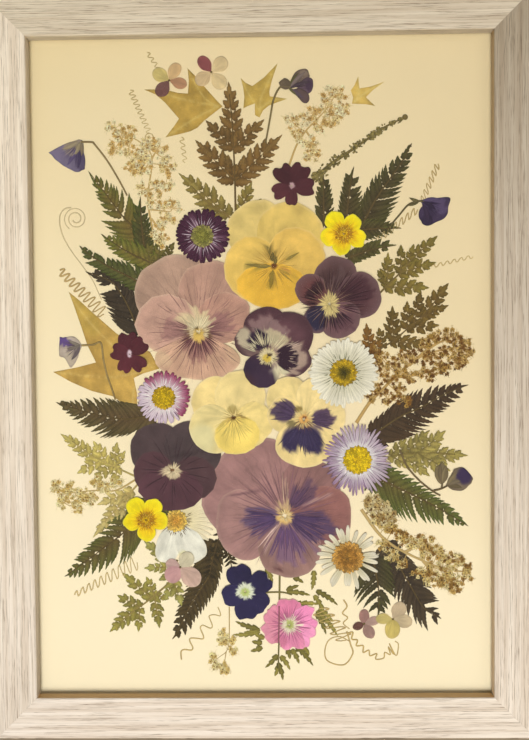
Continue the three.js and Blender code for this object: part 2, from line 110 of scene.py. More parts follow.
def new_group(name, inputs, outputs):
    group = bpy.data.node_groups.new(name, "ShaderNodeTree")
    for socket, kind, value in inputs:
        made = group.interface.new_socket(socket, in_out="INPUT", socket_type=kind)
        if value is not None:
            made.default_value = value
    for socket, kind in outputs:
        group.interface.new_socket(socket, in_out="OUTPUT", socket_type=kind)
    return group, group.nodes.new("NodeGroupInput"), group.nodes.new("NodeGroupOutput")


def node(tree, kind, links=None, **settings):
    """Adds a node. Settings are its properties; links give its sockets a value or another socket."""
    made = tree.nodes.new(kind)
    for key, value in settings.items():
        setattr(made, key, value)
    for key, value in (links or {}).items():
        if isinstance(value, bpy.types.NodeSocket):
            tree.links.new(value, made.inputs[key])
        else:
            made.inputs[key].default_value = value
    return made


def math_node(tree, operation, *values):
    return node(tree, "ShaderNodeMath", dict(enumerate(values)), operation=operation).outputs[0]


def times(tree, first, second):
    return math_node(tree, "MULTIPLY", first, second)


def plus(tree, first, second):
    return math_node(tree, "ADD", first, second)


def attribute(tree, name, output="Color"):
    return node(tree, "ShaderNodeAttribute", attribute_name=name).outputs[output]


def object_place(tree):
    return node(tree, "ShaderNodeTexCoord").outputs["Object"]


def noise(tree, place, scale, detail, roughness=0.5):
    """Smooth random values; the scale is in waves for each unit of the place."""
    links = {"Vector": place, "Scale": scale, "Detail": detail, "Roughness": roughness}
    return node(tree, "ShaderNodeTexNoise", links).outputs[0]


def mix_colour(tree, amount, first, second, blend="MIX"):
    links = {0: amount, 6: first, 7: second}
    return node(tree, "ShaderNodeMix", links, data_type="RGBA", blend_type=blend).outputs[2]


def ramp_between(tree, value, low, high):
    links = {0: value, 1: low, 2: high, 3: 0.0, 4: 1.0}
    return node(tree, "ShaderNodeMapRange", links, interpolation_type="SMOOTHSTEP").outputs[0]


def vein_lines(tree, across, start):
    """Thin lines at every whole number of a value that runs across the petal."""
    middle = math_node(tree, "ABSOLUTE", math_node(tree, "SUBTRACT", math_node(tree, "FRACT", across), 0.5))
    return ramp_between(tree, middle, start, 0.5)


print("helpers for the node trees are ready")

# %% [markdown]
# All dried petals and leaves share one effect, so it is a node group. It takes the colour that is
# stored in the mesh, mottles it, and draws fine veins along the second stored value. The group puts
# out a colour and a height, and the shader itself stays in each material.

# %% Plant tissue


def make_tissue():
    inputs = [("Tint", "NodeSocketColor", None), ("Grain", "NodeSocketVector", None),
              ("Mottle", "NodeSocketFloat", 0.2), ("Vein", "NodeSocketFloat", 0.4)]
    outputs = [("Color", "NodeSocketColor"), ("Height", "NodeSocketFloat")]
    group, given, put = new_group("Plant tissue", inputs, outputs)
    place = object_place(group)
    cloud = noise(group, place, 260.0, 4.0)
    speck = noise(group, place, 2100.0, 3.0)
    grain = node(group, "ShaderNodeSeparateXYZ", {0: given.outputs["Grain"]}).outputs
    across = plus(group, grain[0], times(group, math_node(group, "SUBTRACT", cloud, 0.5), 0.9))
    coarse = vein_lines(group, across, 0.34)
    fine = times(group, vein_lines(group, times(group, across, 2.7), 0.3), 0.45)
    line = times(group, math_node(group, "MAXIMUM", coarse, fine), grain[2])
    shade = plus(group, times(group, cloud, 0.6), times(group, speck, 0.4))
    level = node(group, "ShaderNodeMapRange", {0: shade, 1: 0.3, 2: 0.7, 3: 0.35, 4: 1.5}).outputs[0]
    mottled = mix_colour(group, given.outputs["Mottle"], given.outputs["Tint"], level, "MULTIPLY")
    veined = mix_colour(group, times(group, line, given.outputs["Vein"]), mottled, (0.05, 0.02, 0.03, 1))
    group.links.new(veined, put.inputs["Color"])
    group.links.new(plus(group, shade, times(group, line, 0.5)), put.inputs["Height"])
    return group


TISSUE = make_tissue()


def new_material(name, sockets):
    """A material with a shader whose sockets have the given values."""
    material = bpy.data.materials.new(name)
    material.use_nodes = True
    tree = material.node_tree
    shader = tree.nodes["Principled BSDF"]
    for socket, value in sockets.items():
        shader.inputs[socket].default_value = value
    return material, tree, shader


def link_relief(tree, shader, height, strength, deep, invert=False):
    """Raises the surface by a height; deep is the whole relief in metres."""
    links = {"Height": height, "Strength": strength, "Distance": deep}
    bump = node(tree, "ShaderNodeBump", links, invert=invert)
    tree.links.new(bump.outputs[0], shader.inputs["Normal"])


def tissue_material(name, roughness, mottle, vein, relief, alpha=1.0, coat=0.0):
    sockets = {"Roughness": roughness, "Alpha": alpha, "Coat Weight": coat, "Specular IOR Level": 0.3}
    material, tree, shader = new_material(name, sockets)
    values = {"Tint": attribute(tree, "tint"), "Grain": attribute(tree, "grain", "Vector"),
              "Mottle": mottle, "Vein": vein}
    tissue = node(tree, "ShaderNodeGroup", values, node_tree=TISSUE)
    tree.links.new(tissue.outputs["Color"], shader.inputs["Base Color"])
    link_relief(tree, shader, tissue.outputs["Height"], relief, 0.0003)
    return material


PETAL = tissue_material("petal", 0.8, 0.16, 0.5, 0.3)
SHEER = tissue_material("sheer_petal", 0.7, 0.15, 0.45, 0.3, alpha=0.62)
GLOSSY = tissue_material("buttercup_petal", 0.35, 0.12, 0.2, 0.2, coat=0.2)
LEAF = tissue_material("leaf", 0.7, 0.35, 0.4, 0.5)
FLORET = tissue_material("floret", 0.85, 0.35, 0.2, 0.5)
SPRAY = tissue_material("spray_floret", 0.85, 0.12, 0.1, 0.3, alpha=0.86)
print("tissue veins and mottle:", len(TISSUE.nodes), "nodes")

# %% [markdown]
# The frame is four lengths of moulding, mitred at the corners. The real one is covered with a white
# limed finish that has a fine grain pressed into it, always along the length. So each rail is swept
# along its own length, with its front pushed in a little along random streaks.

# %% The limed wood finish


def grain_noise(tree, grain, along, across, detail, roughness=0.5):
    """Noise drawn out along the rail: waves for each millimetre along and across."""
    links = {0: grain, 1: (along, across, 1.0)}
    stretched = node(tree, "ShaderNodeVectorMath", links, operation="MULTIPLY").outputs[0]
    return noise(tree, stretched, 1.0, detail, roughness)


def make_wood():
    material, tree, shader = new_material("limed_wood", {"Roughness": 0.55})
    grain = attribute(tree, "grain", "Vector")
    fine = grain_noise(tree, grain, 0.02, 1.5, 5.0, 0.65)
    band = grain_noise(tree, grain, 0.012, 0.5, 3.0)
    pore = grain_noise(tree, grain, 0.035, 2.6, 2.0)
    wander = grain_noise(tree, grain, 0.014, 0.85, 4.0, 0.7)
    base = mix_colour(tree, ramp_between(tree, band, 0.3, 0.7), rgba((218, 204, 185)), rgba((238, 228, 212)))
    streaks = times(tree, ramp_between(tree, fine, 0.54, 0.66), 0.42)
    streaked = mix_colour(tree, streaks, base, rgba((176, 158, 134)))
    off = math_node(tree, "ABSOLUTE", math_node(tree, "SUBTRACT", wander, 0.5))
    thin = math_node(tree, "SUBTRACT", 1.0, ramp_between(tree, off, 0.004, 0.03))
    broken = times(tree, thin, ramp_between(tree, pore, 0.4, 0.56))
    limed = mix_colour(tree, times(tree, broken, 0.7), streaked, rgba((112, 92, 70)))
    # Painted shade: the rail's stored shade colour darkens the wood where less light falls on it.
    wood_with_painted_shade = mix_colour(tree, 1.0, limed, attribute(tree, "shade"), "MULTIPLY")
    # Painted shade: the inner walls are tinted tan by their share, where they face away from the light.
    wall_shaded_wood = mix_colour(tree, attribute(tree, "painted_wall_shade", "Fac"), wood_with_painted_shade, rgba((214, 176, 124)))
    tree.links.new(wall_shaded_wood, shader.inputs["Base Color"])
    link_relief(tree, shader, plus(tree, fine, times(tree, pore, 0.7)), 0.5, 0.0004, invert=True)
    return material


WOOD = make_wood()
print("limed wood:", len(WOOD.node_tree.nodes), "nodes")

# %% [markdown]
# Random but repeatable unevenness comes from a small lattice of random numbers, read smoothly. A
# maker would get it from the wood or the plant; here the seed decides it.

# %% Smooth random values


def lattice(seed, x, y, cells=64):
    """Smooth random values from -1 to 1 over two coordinates, one lattice cell per unit."""
    table = np.random.default_rng(seed).uniform(-1, 1, (cells, cells))
    x, y = np.broadcast_arrays(np.asarray(x, float), np.asarray(y, float))
    left, low = np.floor(x).astype(int), np.floor(y).astype(int)
    fx, fy = x - left, y - low
    fx, fy = fx * fx * (3 - 2 * fx), fy * fy * (3 - 2 * fy)

    def level(j):
        first = table[left % cells, (low + j) % cells]
        return first * (1 - fx) + table[(left + 1) % cells, (low + j) % cells] * fx

    return level(0) * (1 - fy) + level(1) * fy


print("smooth random values are ready")

# %% [markdown]
# A rail is one section of moulding, moved along its length and cut to a mitre at both ends. The
# section runs from the back edge round the front to the rebate that holds the glass. Every rail is
# painted darker or lighter along its length as painted shade, for the light that falls on it, most of
# all towards the top of the right rail. The inner walls, most of all those of the bottom and right
# rails, are painted tan as painted shade, where they face away from the light.

# %% The four rails
RAIL_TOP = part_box("rail_top")
HALF_WIDE, TALL, FRONT = RAIL_TOP[1].x, RAIL_TOP[1].z, RAIL_TOP[0].y
CENTRE_Z = TALL / 2
MM = 0.001
MOULDING, LIP, REBATE, DEEP = 18.0, 5.0, 5.5, 18.0
MITRE_ROOM = 0.02


def front_profile(steps=56, soft=0.7):
    """The moulding's section as (across, deep), from the outer back edge round the front to the rebate."""
    corner = [(soft * math.cos(a), soft - soft * math.sin(a)) for a in np.linspace(0.2, 1.4, 4)]
    outer = [(0, DEEP), (0, 9), (0, soft)] + [(soft - x, y) for x, y in corner]
    face = [(x, 0.0) for x in np.linspace(soft, MOULDING - soft, steps)]
    inner = [(MOULDING - soft + x, y) for x, y in reversed(corner)]
    rebate = [(MOULDING, soft), (MOULDING, LIP), (MOULDING - REBATE, LIP), (MOULDING - REBATE, DEEP)]
    return outer + face + inner + rebate


# Painted shade: colours that multiply each rail's wood from one end to the other, darker where less light
# falls, most of all at the top of the right rail.
RAIL_PAINTED_SHADE = {
    "bottom": ((0.95, 0.95, 0.98), (0.98, 0.98, 1.0)),
    "right": ((0.98, 0.98, 1.0), (0.48, 0.45, 0.39)),
    "top": ((0.78, 0.76, 0.7), (0.84, 0.83, 0.76)),
    "left": ((0.98, 0.97, 0.93), (0.93, 0.93, 0.95)),
}
# Painted shade: how much tan each rail's inner wall gets, most on the bottom and right walls that face away
# from the light.
INNER_WALL_PAINTED_SHADE = {"bottom": 1.0, "right": 0.5, "top": 0.0, "left": 0.1}


def store(mesh, name, kind, values):
    """Writes a value for each point of a mesh, under a name that its material reads."""
    field = {"FLOAT": "value", "FLOAT_VECTOR": "vector", "FLOAT_COLOR": "color"}[kind]
    holder = mesh.color_attributes if kind == "FLOAT_COLOR" else mesh.attributes
    made = holder.new(name, kind, "POINT")
    made.data.foreach_set(field, np.asarray(values, np.float32).ravel())


def make_rail(side, turns, length, seed):
    across, deep = np.array(front_profile()).T
    share = np.linspace(0, 1, 110)[:, None]
    along = (length / 2 - across - MITRE_ROOM) * (2 * share - 1)
    streak = lattice(seed, across * 2.4 + 0.5 * lattice(seed + 1, along / 60, across / 6), along / 30)
    groove = lattice(seed + 2, across * 0.9, along / 55)
    push = np.clip(0.05 * streak + 0.03 * groove, 0, 1) * (deep < 0.4)
    x, y = along * MM, FRONT + (deep + push) * MM
    z = across * MM - (HALF_WIDE if turns % 2 else CENTRE_Z) + 0 * along
    c, s = [(1, 0), (0, 1), (-1, 0), (0, -1)][turns]
    points = np.stack([x * c - z * s, y, CENTRE_Z + x * s + z * c], -1).reshape(-1, 3)
    index = np.arange(along.size).reshape(along.shape)
    following = np.roll(index, -1, 1)
    quads = np.stack([index[:-1], index[1:], following[1:], following[:-1]], -1).reshape(-1, 4).tolist()
    mesh = bpy.data.meshes.new(f"rail_{side}_wood")
    mesh.from_pydata(points.tolist(), [], quads + [index[0].tolist(), index[-1][::-1].tolist()])
    grain = [along, across + deep + 0 * along, np.full_like(along, seed * 7.0)]
    store(mesh, "grain", "FLOAT_VECTOR", np.stack(grain, -1))
    # Painted shade: only the inner wall of each rail gets its share of tan.
    store(mesh, "painted_wall_shade", "FLOAT", (across > MOULDING - 0.01) * INNER_WALL_PAINTED_SHADE[side] + 0 * along)
    # Painted shade along the rail, blended from its first colour to its last.
    first, last = np.array(RAIL_PAINTED_SHADE[side])
    rail_shade_paint = np.ones((*along.shape, 4))
    rail_shade_paint[..., :3] = (first + (last - first) * share)[:, None]
    store(mesh, "shade", "FLOAT_COLOR", rail_shade_paint)
    mesh.materials.append(WOOD)
    mesh.shade_smooth()
    mesh.set_sharp_from_angle(angle=math.radians(50))
    rail = add_object(f"wood_{side}", mesh)
    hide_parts(f"rail_{side}")
    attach(rail, "root")
    return len(mesh.polygons)


for turns, side in enumerate(["bottom", "right", "top", "left"]):
    length = 1000 * (2 * HALF_WIDE if turns % 2 == 0 else TALL)
    made = make_rail(side, turns, length, 11 + turns)
    print(f"rail {side}: {made} faces")

# %% [markdown]
# The glass, card, back board and metal fittings keep their CAD shapes. They only need a finish, and
# the fittings a slightly rounded edge that catches the light.

# %% Glass, card and back


def make_glass():
    sockets = {"Base Color": (0.98, 1.0, 0.985, 1), "Roughness": 0.02, "Transmission Weight": 1.0, "IOR": 1.5}
    material, tree, shader = new_material("clear_glass", sockets)
    path = node(tree, "ShaderNodeLightPath")
    clear = node(tree, "ShaderNodeBsdfTransparent", {"Color": (0.97, 0.98, 0.97, 1)})
    passes = math_node(tree, "MAXIMUM", path.outputs["Is Shadow Ray"], path.outputs["Is Diffuse Ray"])
    both = node(tree, "ShaderNodeMixShader", {0: passes, 1: shader.outputs[0], 2: clear.outputs[0]})
    tree.links.new(both.outputs[0], tree.nodes["Material Output"].inputs["Surface"])
    return material


def make_card():
    """Cream card, painted darker and yellower towards the top and the top right as painted shade, where less
    light falls.
    """
    material, tree, shader = new_material("cream_card", {"Roughness": 0.9})
    place = object_place(tree)
    cloud = noise(tree, place, 14.0, 3.0)
    fibre = noise(tree, place, 1800.0, 3.0)
    across, _, up = node(tree, "ShaderNodeSeparateXYZ", {0: place}).outputs
    # Painted shade: the card darkens upwards and again towards the top right.
    painted_shade_up = ramp_between(tree, plus(tree, up, times(tree, cloud, 0.12)), 0.08, 0.42)
    card = mix_colour(tree, painted_shade_up, rgba((255, 238, 206)), rgba((238, 216, 172)))
    painted_shade_right = times(tree, ramp_between(tree, across, -0.12, 0.12), ramp_between(tree, up, 0.02, 0.2))
    card = mix_colour(tree, times(tree, painted_shade_right, 0.7), card, rgba((232, 210, 170)))
    tree.links.new(mix_colour(tree, 0.08, card, fibre, "MULTIPLY"), shader.inputs["Base Color"])
    link_relief(tree, shader, fibre, 0.15, 0.0001)
    return material


def make_hardboard():
    material, tree, shader = new_material("hardboard", {"Roughness": 0.75})
    fibre = noise(tree, object_place(tree), 500.0, 6.0)
    brown = mix_colour(tree, fibre, rgba((104, 74, 48)), rgba((164, 128, 90)))
    tree.links.new(brown, shader.inputs["Base Color"])
    link_relief(tree, shader, fibre, 0.4, 0.0004)
    return material


def make_steel():
    material, tree, shader = new_material("zinc_steel", {"Metallic": 1.0})
    cloud = noise(tree, object_place(tree), 320.0, 4.0)
    grey = mix_colour(tree, cloud, rgba((150, 150, 146)), rgba((214, 213, 206)))
    tree.links.new(grey, shader.inputs["Base Color"])
    tree.links.new(plus(tree, times(tree, cloud, 0.35), 0.18), shader.inputs["Roughness"])
    return material


GLASS, CARD, HARDBOARD, STEEL = make_glass(), make_card(), make_hardboard(), make_steel()


def finish_node(name, material, softened=0.0):
    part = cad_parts[name]
    part.data.materials.clear()
    part.data.materials.append(material)
    if softened:
        edge = part.modifiers.new("soft edges", "BEVEL")
        edge.width = softened
        edge.segments = 2


finish_node("glass", GLASS)
finish_node("sheet", CARD)
finish_node("back_board", HARDBOARD)
fittings = [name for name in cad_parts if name.startswith(("tab_", "hanger", "nail_"))]
for name in fittings:
    finish_node(name, STEEL, 0.00012)
print("finished", len(fittings), "metal fittings")

# %% [markdown]
# Everything pressed is drawn in card coordinates: u to the right and v up from the middle, and lift
# as the height above the card, all in millimetres. Layer 0 lies on the card, and each further layer
# is 0.28 mm nearer the glass, so that overlapping flowers never cut into each other.

# %% Card coordinates and the specimen
SPREAD = 1.01
CARD_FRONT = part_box("sheet")[0].y
LAYER_PITCH, FIRST_LIFT = 0.28, 0.09
LEAF_THICK, PETAL_THICK = 0.04, 0.025


def lift_of(layer):
    return FIRST_LIFT + LAYER_PITCH * layer


class Specimen:
    """One plant: points as (u, v, lift), faces, a tint for each point, and its grain."""

    def __init__(self, name, layer):
        self.name, self.lift = name, lift_of(layer)
        self.points, self.faces, self.tints, self.grains, self.kinds = [], [], [], [], []
        self.count = 0

    def lay(self, points, faces, tint, grain=(0, 0, 0), kind=0):
        points = np.asarray(points, float)
        self.points.append(points)
        self.tints.append(np.broadcast_to(np.asarray(tint, float), points.shape))
        self.grains.append(np.broadcast_to(np.asarray(grain, float), points.shape))
        self.faces += [[i + self.count for i in face] for face in faces]
        self.kinds += [kind] * len(faces)
        self.count += len(points)

    def finish(self, materials, slot, replaces=None, thick=LEAF_THICK):
        points = np.concatenate(self.points)
        world = np.stack([points[:, 0] * SPREAD * MM, CARD_FRONT - points[:, 2] * MM,
                          CENTRE_Z + points[:, 1] * SPREAD * MM], -1)
        mesh = bpy.data.meshes.new(self.name)
        mesh.from_pydata(world.tolist(), [], self.faces)
        tint = np.ones((len(points), 4))
        tint[:, :3] = linear(np.clip(np.concatenate(self.tints), 0, 255))
        store(mesh, "tint", "FLOAT_COLOR", tint)
        store(mesh, "grain", "FLOAT_VECTOR", np.concatenate(self.grains))
        for material in materials:
            mesh.materials.append(material)
        mesh.polygons.foreach_set("material_index", self.kinds)
        mesh.shade_smooth()
        piece = add_object(self.name, mesh)
        if thick:
            body = piece.modifiers.new("thickness", "SOLIDIFY")
            body.thickness = thick * MM
            body.offset = -1
            light = piece.modifiers.new("edge light", "WEIGHTED_NORMAL")
            light.mode = "FACE_AREA"
            light.weight = 100
        if replaces:
            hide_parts(replaces)
        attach(piece, "root")
        return piece


def strip_faces(rows, columns, closed=False):
    """Quads for a grid of points: each row runs from right to left, and the next row lies ahead of it."""
    faces = []
    for row in range(0, (rows - 1) * columns, columns):
        for at in range(columns if closed else columns - 1):
            after = (at + 1) % columns
            faces.append([row + at, row + columns + at, row + columns + after, row + after])
    return faces


print("card coordinates are in mm from the middle of the card")

# %% [markdown]
# Stems, ribs and tendrils are lines. A smooth curve is run through a few points, and a narrow strip
# with a raised middle follows it. A blade is the same strip, swollen in the middle and pointed at
# both ends: it serves for leaflets, sepals and the petals of the smallest florets.

# %% Lines, stems and blades


def smooth_line(points, per=6):
    """A Catmull-Rom curve through the points."""
    points = np.asarray(points, float)
    ends = np.vstack([2 * points[0] - points[1], points, 2 * points[-1] - points[-2]])
    share = np.linspace(0, 1, per, endpoint=False)[:, None]
    parts = []
    for a, b, c, d in zip(ends[:-3], ends[1:-2], ends[2:-1], ends[3:]):
        parts.append(0.5 * (2 * b + (c - a) * share + (2 * a - 5 * b + 4 * c - d) * share ** 2
                            + (3 * b - a - 3 * c + d) * share ** 3))
    return np.vstack(parts + [points[-1:]])


def run_of(line):
    """Distance along a line, and the direction to the left of it, at each of its points."""
    steps = np.hypot(*np.diff(line, axis=0).T)
    ahead = np.gradient(line, axis=0)
    ahead /= np.maximum(np.hypot(ahead[:, 0], ahead[:, 1]), 1e-6)[:, None]
    return np.concatenate([[0], np.cumsum(steps)]), np.stack([-ahead[:, 1], ahead[:, 0]], -1)


def lay_strip(plant, line, half, tint, rise=0.0, crown=0.1, grain=0.4, kind=0, edge=0.86):
    """A strip with a raised middle; half may differ from point to point, and so may tint."""
    along, left = run_of(line)
    half = np.broadcast_to(half, len(line))[:, None]
    colour = np.broadcast_to(np.asarray(tint, float), (len(line), 3))
    points, colours, marks = [], [], []
    # Painted shade and highlight: the two sides are multiplied by edge and the raised middle by 1.03, as
    # light would fall across a rounded strip.
    for side, shade in ((-1, edge), (0, 1.03), (1, edge)):
        lift = np.full(len(line), plant.lift + rise + crown * (1 - abs(side)))
        points.append(np.column_stack([line + left * half * side, lift]))
        colours.append(colour * shade)
        marks.append(np.column_stack([along * 0.9 + 0.6 * abs(side), along, np.full(len(line), grain)]))
    points, colours, marks = (np.stack(each, 1).reshape(-1, 3) for each in (points, colours, marks))
    plant.lay(points, strip_faces(len(line), 3), colours, marks, kind)


def lay_stem(plant, points, wide, tip=None, tint=(112, 96, 60), rise=0.05, kind=0, per=6):
    line = smooth_line(points, per)
    tip = wide if tip is None else tip
    lay_strip(plant, line, np.linspace(wide, tip, len(line)) / 2, tint, rise, 0.25 * wide, 0.2, kind)


def lay_blade(plant, base, tip, half, tint, rise=0.0, bend=0.0, rows=7, fullest=0.45, kind=0, crown=0.06):
    base, tip = np.asarray(base, float), np.asarray(tip, float)
    share = np.linspace(0, 1, rows)
    side = np.array([base[1] - tip[1], tip[0] - base[0]])
    line = base + (tip - base) * share[:, None] + side * bend * np.sin(share * math.pi)[:, None]
    swell = np.sin(share ** (math.log(0.5) / math.log(fullest)) * math.pi) ** 0.75
    lay_strip(plant, line, half * np.maximum(swell, 0.06), tint, rise, crown, 0.4, kind)


def lay_streaks(plant, heart, sweep, reach, count, tint, half=0.16, rise=0.2, seed=1):
    """Fine lines that run out from the heart, from one angle in degrees to another."""
    chance = np.random.default_rng(seed)
    for i in range(count):
        angle = math.radians(sweep[0] + (sweep[1] - sweep[0]) * (i + chance.uniform(0.1, 0.9)) / count)
        out = np.array([math.cos(angle), math.sin(angle)])
        near = reach[0] * chance.uniform(0.85, 1.25)
        far = reach[1] * (1 - 0.35 * chance.uniform(0, 1))
        colour = np.asarray(tint, float) * chance.uniform(0.9, 1.1)
        wide = half * chance.uniform(0.6, 1.3)
        bend = chance.uniform(-0.04, 0.04)
        lay_blade(plant, heart + out * near, heart + out * far, wide, colour, rise, bend, 5, 0.3, crown=0.01)


print("helpers for stems and blades are ready")

# %% [markdown]
# A petal is a fan that spreads from the flower's heart: an ellipse set away from the heart gives its
# rounded end, and straight sides lead back to the heart. Stains are soft or ragged patches of
# another colour, which is how pansies get their faces.

# %% Petals and stains


def stain(tint, u, v, spot, heart):
    """Blends a patch into the tints. A spot is (u, v, half-width, half-height, turn in degrees, colour,
    strength, raggedness)."""
    at_u, at_v, wide, high, turned, colour, strength, ragged = spot
    angle = math.radians(turned)
    x = (u - at_u) * math.cos(angle) + (v - at_v) * math.sin(angle)
    y = (v - at_v) * math.cos(angle) - (u - at_u) * math.sin(angle)
    around = np.arctan2(v - heart[1], u - heart[0])
    rough = ragged * lattice(int(abs(at_u * 7 + at_v * 13)) + 5, around * 14, np.hypot(x, y) * 0.15)
    far = np.hypot(x / wide, y / high) + rough
    soft = 0.12 + 0.4 * (1 - min(1.0, ragged * 4))
    amount = strength * np.clip((1 - far) / soft + 0.5, 0, 1)
    return blend(tint, colour, amount)


def fan(ellipse, columns=38):
    """Directions and reaches of a petal's rim, seen from the heart."""
    du, dv, half_long, half_wide = ellipse
    away = math.hypot(du, dv)
    swing = math.pi
    if away > half_long:
        swing = math.atan(half_wide / math.sqrt(away ** 2 - half_long ** 2)) * 0.999
    phi = swing * np.sin(np.linspace(-1, 1, columns) * math.pi / 2)
    a = (np.cos(phi) / half_long) ** 2 + (np.sin(phi) / half_wide) ** 2
    b = away * np.cos(phi) / half_long ** 2
    c = (away / half_long) ** 2 - 1
    reach = (b + np.sqrt(np.maximum(b * b - a * c, 0))) / a
    return phi, reach, math.atan2(dv, du)


# Colour of the painted highlight along a petal's rim.
PAINTED_RIM_HIGHLIGHT = (232, 212, 182)


def lay_petal(flower, heart, ellipse, tint, rise, seed, stains=(), notch=0.0, ruffle=0.02, veins=14,
              vein=0.5, rim=None, rows=18):
    phi, reach, turned = fan(ellipse)
    edge = 1 + ruffle * lattice(seed, phi * 4 + 9, 0.5) + ruffle * 0.5 * lattice(seed + 1, phi * 11 + 5, 0.5)
    edge -= notch * np.exp(-(phi / 0.2) ** 2)
    share = np.linspace(0.03, 1, rows)[:, None] ** 0.9
    u = (heart[0] + share * reach * edge * np.cos(turned + phi)).ravel()
    v = (heart[1] + share * reach * edge * np.sin(turned + phi)).ravel()
    along = np.broadcast_to(share, (rows, len(phi))).ravel()
    around = np.tile(phi, rows)
    crease = lattice(seed + 5, around * 9 + 20, along * 2.2)
    crease = crease + 0.6 * lattice(seed + 6, around * 23 + 30, along * 3.1)
    uneven = 0.06 * lattice(seed + 2, u / 5, v / 5) + 0.03 * lattice(seed + 7, u / 1.3, v / 1.3)
    # Besides random unevenness, the colour goes up to 5% lighter and darker with the creases that also lift
    # the petal: painted shade of the wrinkles.
    colour = np.asarray(tint, float) * (1 + uneven + 0.05 * crease)[:, None]
    if rim is not None:
        colour = blend(colour, rim, np.clip((along - 0.72) / 0.28, 0, 1) * 0.9)
    # Painted highlight: a light line along the very rim of a petal, stronger the paler the petal.
    glow = 0.3 * min(1, np.mean(tint) / 170) ** 2
    colour = blend(colour, PAINTED_RIM_HIGHLIGHT, glow * np.clip((along - 0.95) / 0.05, 0, 1))
    for spot in stains:
        colour = stain(colour, u, v, spot, heart)
    lift = flower.lift + rise + 0.005 * lattice(seed + 3, u / 2.5, v / 2.5) + 0.004 * crease * along
    fade = vein * np.clip(1.15 - along, 0, 1) ** 1.2
    grain = np.stack([around / max(phi[-1], 0.3) * veins / 2 + 40, along, fade], -1)
    flower.lay(np.stack([u, v, lift], -1), strip_faces(rows, len(phi)), colour, grain)


def lay_bump(flower, u, v, size, tint, rise=0.0, high=0.25, squash=1.0, turned=0.0, kind=0, sides=8):
    """A small rounded button, such as a floret, a bud or a grain of pollen."""
    angles = np.linspace(0, 2 * math.pi, sides, endpoint=False)
    points = []
    for radius, height in ((1.0, 0.0), (0.72, 0.65), (0.0001, 1.0)):
        x, y = size * radius * np.cos(angles), size * squash * radius * np.sin(angles)
        lift = np.full(sides, flower.lift + rise + high * height)
        across, up = x * math.cos(turned) - y * math.sin(turned), x * math.sin(turned) + y * math.cos(turned)
        points.append(np.stack([u + across, v + up, lift], -1))
    # Painted shade and highlight on the dome: its foot ring is darker and its top lighter.
    painted_dome_shade = np.repeat([[0.8], [1.0], [1.1]], sides, 0) * np.asarray(tint, float)
    faces = [face[::-1] for face in strip_faces(3, sides, closed=True)]
    flower.lay(np.concatenate(points), faces, painted_dome_shade, kind=kind)


print("a petal's rim has", len(fan((0, 5, 5, 5))[0]), "points")

# %% [markdown]
# The pansies and violas carry the picture. Each is five petals: two at the top lie lowest, and the
# lower one lies on the others. The dark face, the pale ring and the yellow heart are stains. The lines
# of the face could be painted, but each is a fine blade of its own, so that it also shows in the mesh.

# %% How a pansy is pressed
PETAL_STEP = 0.04


def press_flower(name, layer, heart, vein, rim, petals, spots, notch=0.0, ruffle=0.03, rows=20):
    """A flower whose petals spread from one heart, laid from the back petal to the front one."""
    flower = Specimen(name, layer)
    seed = sum(map(ord, name))
    for i, (ellipse, colour) in enumerate(petals):
        lay_petal(flower, heart, ellipse, colour, i * PETAL_STEP, seed + 10 * i, spots, notch, ruffle,
                  vein=vein, rim=rim, rows=rows)
    return flower


def press_pansy(name, layer, heart, slot, vein, rim, petals, spots, streaks):
    """A streak is (sweep in degrees, reach from the heart, how many lines, their colour, half-width)."""
    flower = press_flower(name, layer, heart, vein, rim, petals, spots)
    for i, (sweep, reach, count, tint, half) in enumerate(streaks):
        lay_streaks(flower, heart, sweep, reach, count, tint, half, 0.2, 7 * i + len(name))
    flower.finish([PETAL], slot, name, PETAL_THICK)


print("each petal lies", PETAL_STEP, "mm above the one before")

# %% [markdown]
# A pansy is listed as its layer, heart and slot, how strong its veins are, the colour of its rim, its
# petals from back to front, its stains, and the streaks of its face. First the upper flowers.

# %% Pansies and violas, upper half
press_pansy("pansy_yellow", 4, (5.5, 44.5), "petal_yellow", 0.2, None, [
    ((-6.5, 15.5, 13, 14), (219, 191, 118)), ((7.5, 13.5, 14, 15), (217, 185, 104)),
    ((-9, -1, 12.5, 14.5), (225, 187, 98)), ((10, 3.5, 12.5, 14), (221, 181, 94)),
    ((-0.5, -8.5, 10, 16), (225, 176, 66))], [
    (5, 36, 8, 9, 0, (225, 174, 62), 0.5, 0.1), (-3.5, 45, 4.6, 1.2, -8, (128, 116, 54), 0.7, 0.1),
    (4.8, 37.5, 1.4, 4.6, 0, (132, 112, 46), 0.65, 0.12),
    (4.3, 50.3, 1.8, 3.1, 25, (98, 86, 46), 0.8, 0.15), (14, 49, 3.8, 0.5, 32, (150, 128, 58), 0.5, 0.0),
    (13, 41.2, 4, 0.9, -35, (170, 138, 58), 0.55, 0.1), (10.5, 43.4, 2.4, 0.6, 0, (188, 120, 84), 0.5, 0.0),
    (5.8, 44.8, 1.4, 1.1, 0, (92, 52, 30), 0.9, 0.1), (-14, 36, 0.6, 0.6, 0, (92, 62, 50), 0.8, 0.0)], [
    ((0, 360), (2, 11), 40, (190, 150, 66), 0.16), ((172, 178), (0.6, 14), 1, (146, 128, 66), 1.2),
    ((258, 264), (1.5, 10), 1, (140, 116, 46), 1.1), ((92, 97), (2, 9), 1, (96, 86, 48), 1.6),
    ((60, 75), (1, 6), 2, (128, 112, 56), 0.7), ((24, 30), (5, 15), 1, (160, 138, 70), 0.5),
    ((318, 335), (3, 12), 2, (168, 136, 58), 0.6)])
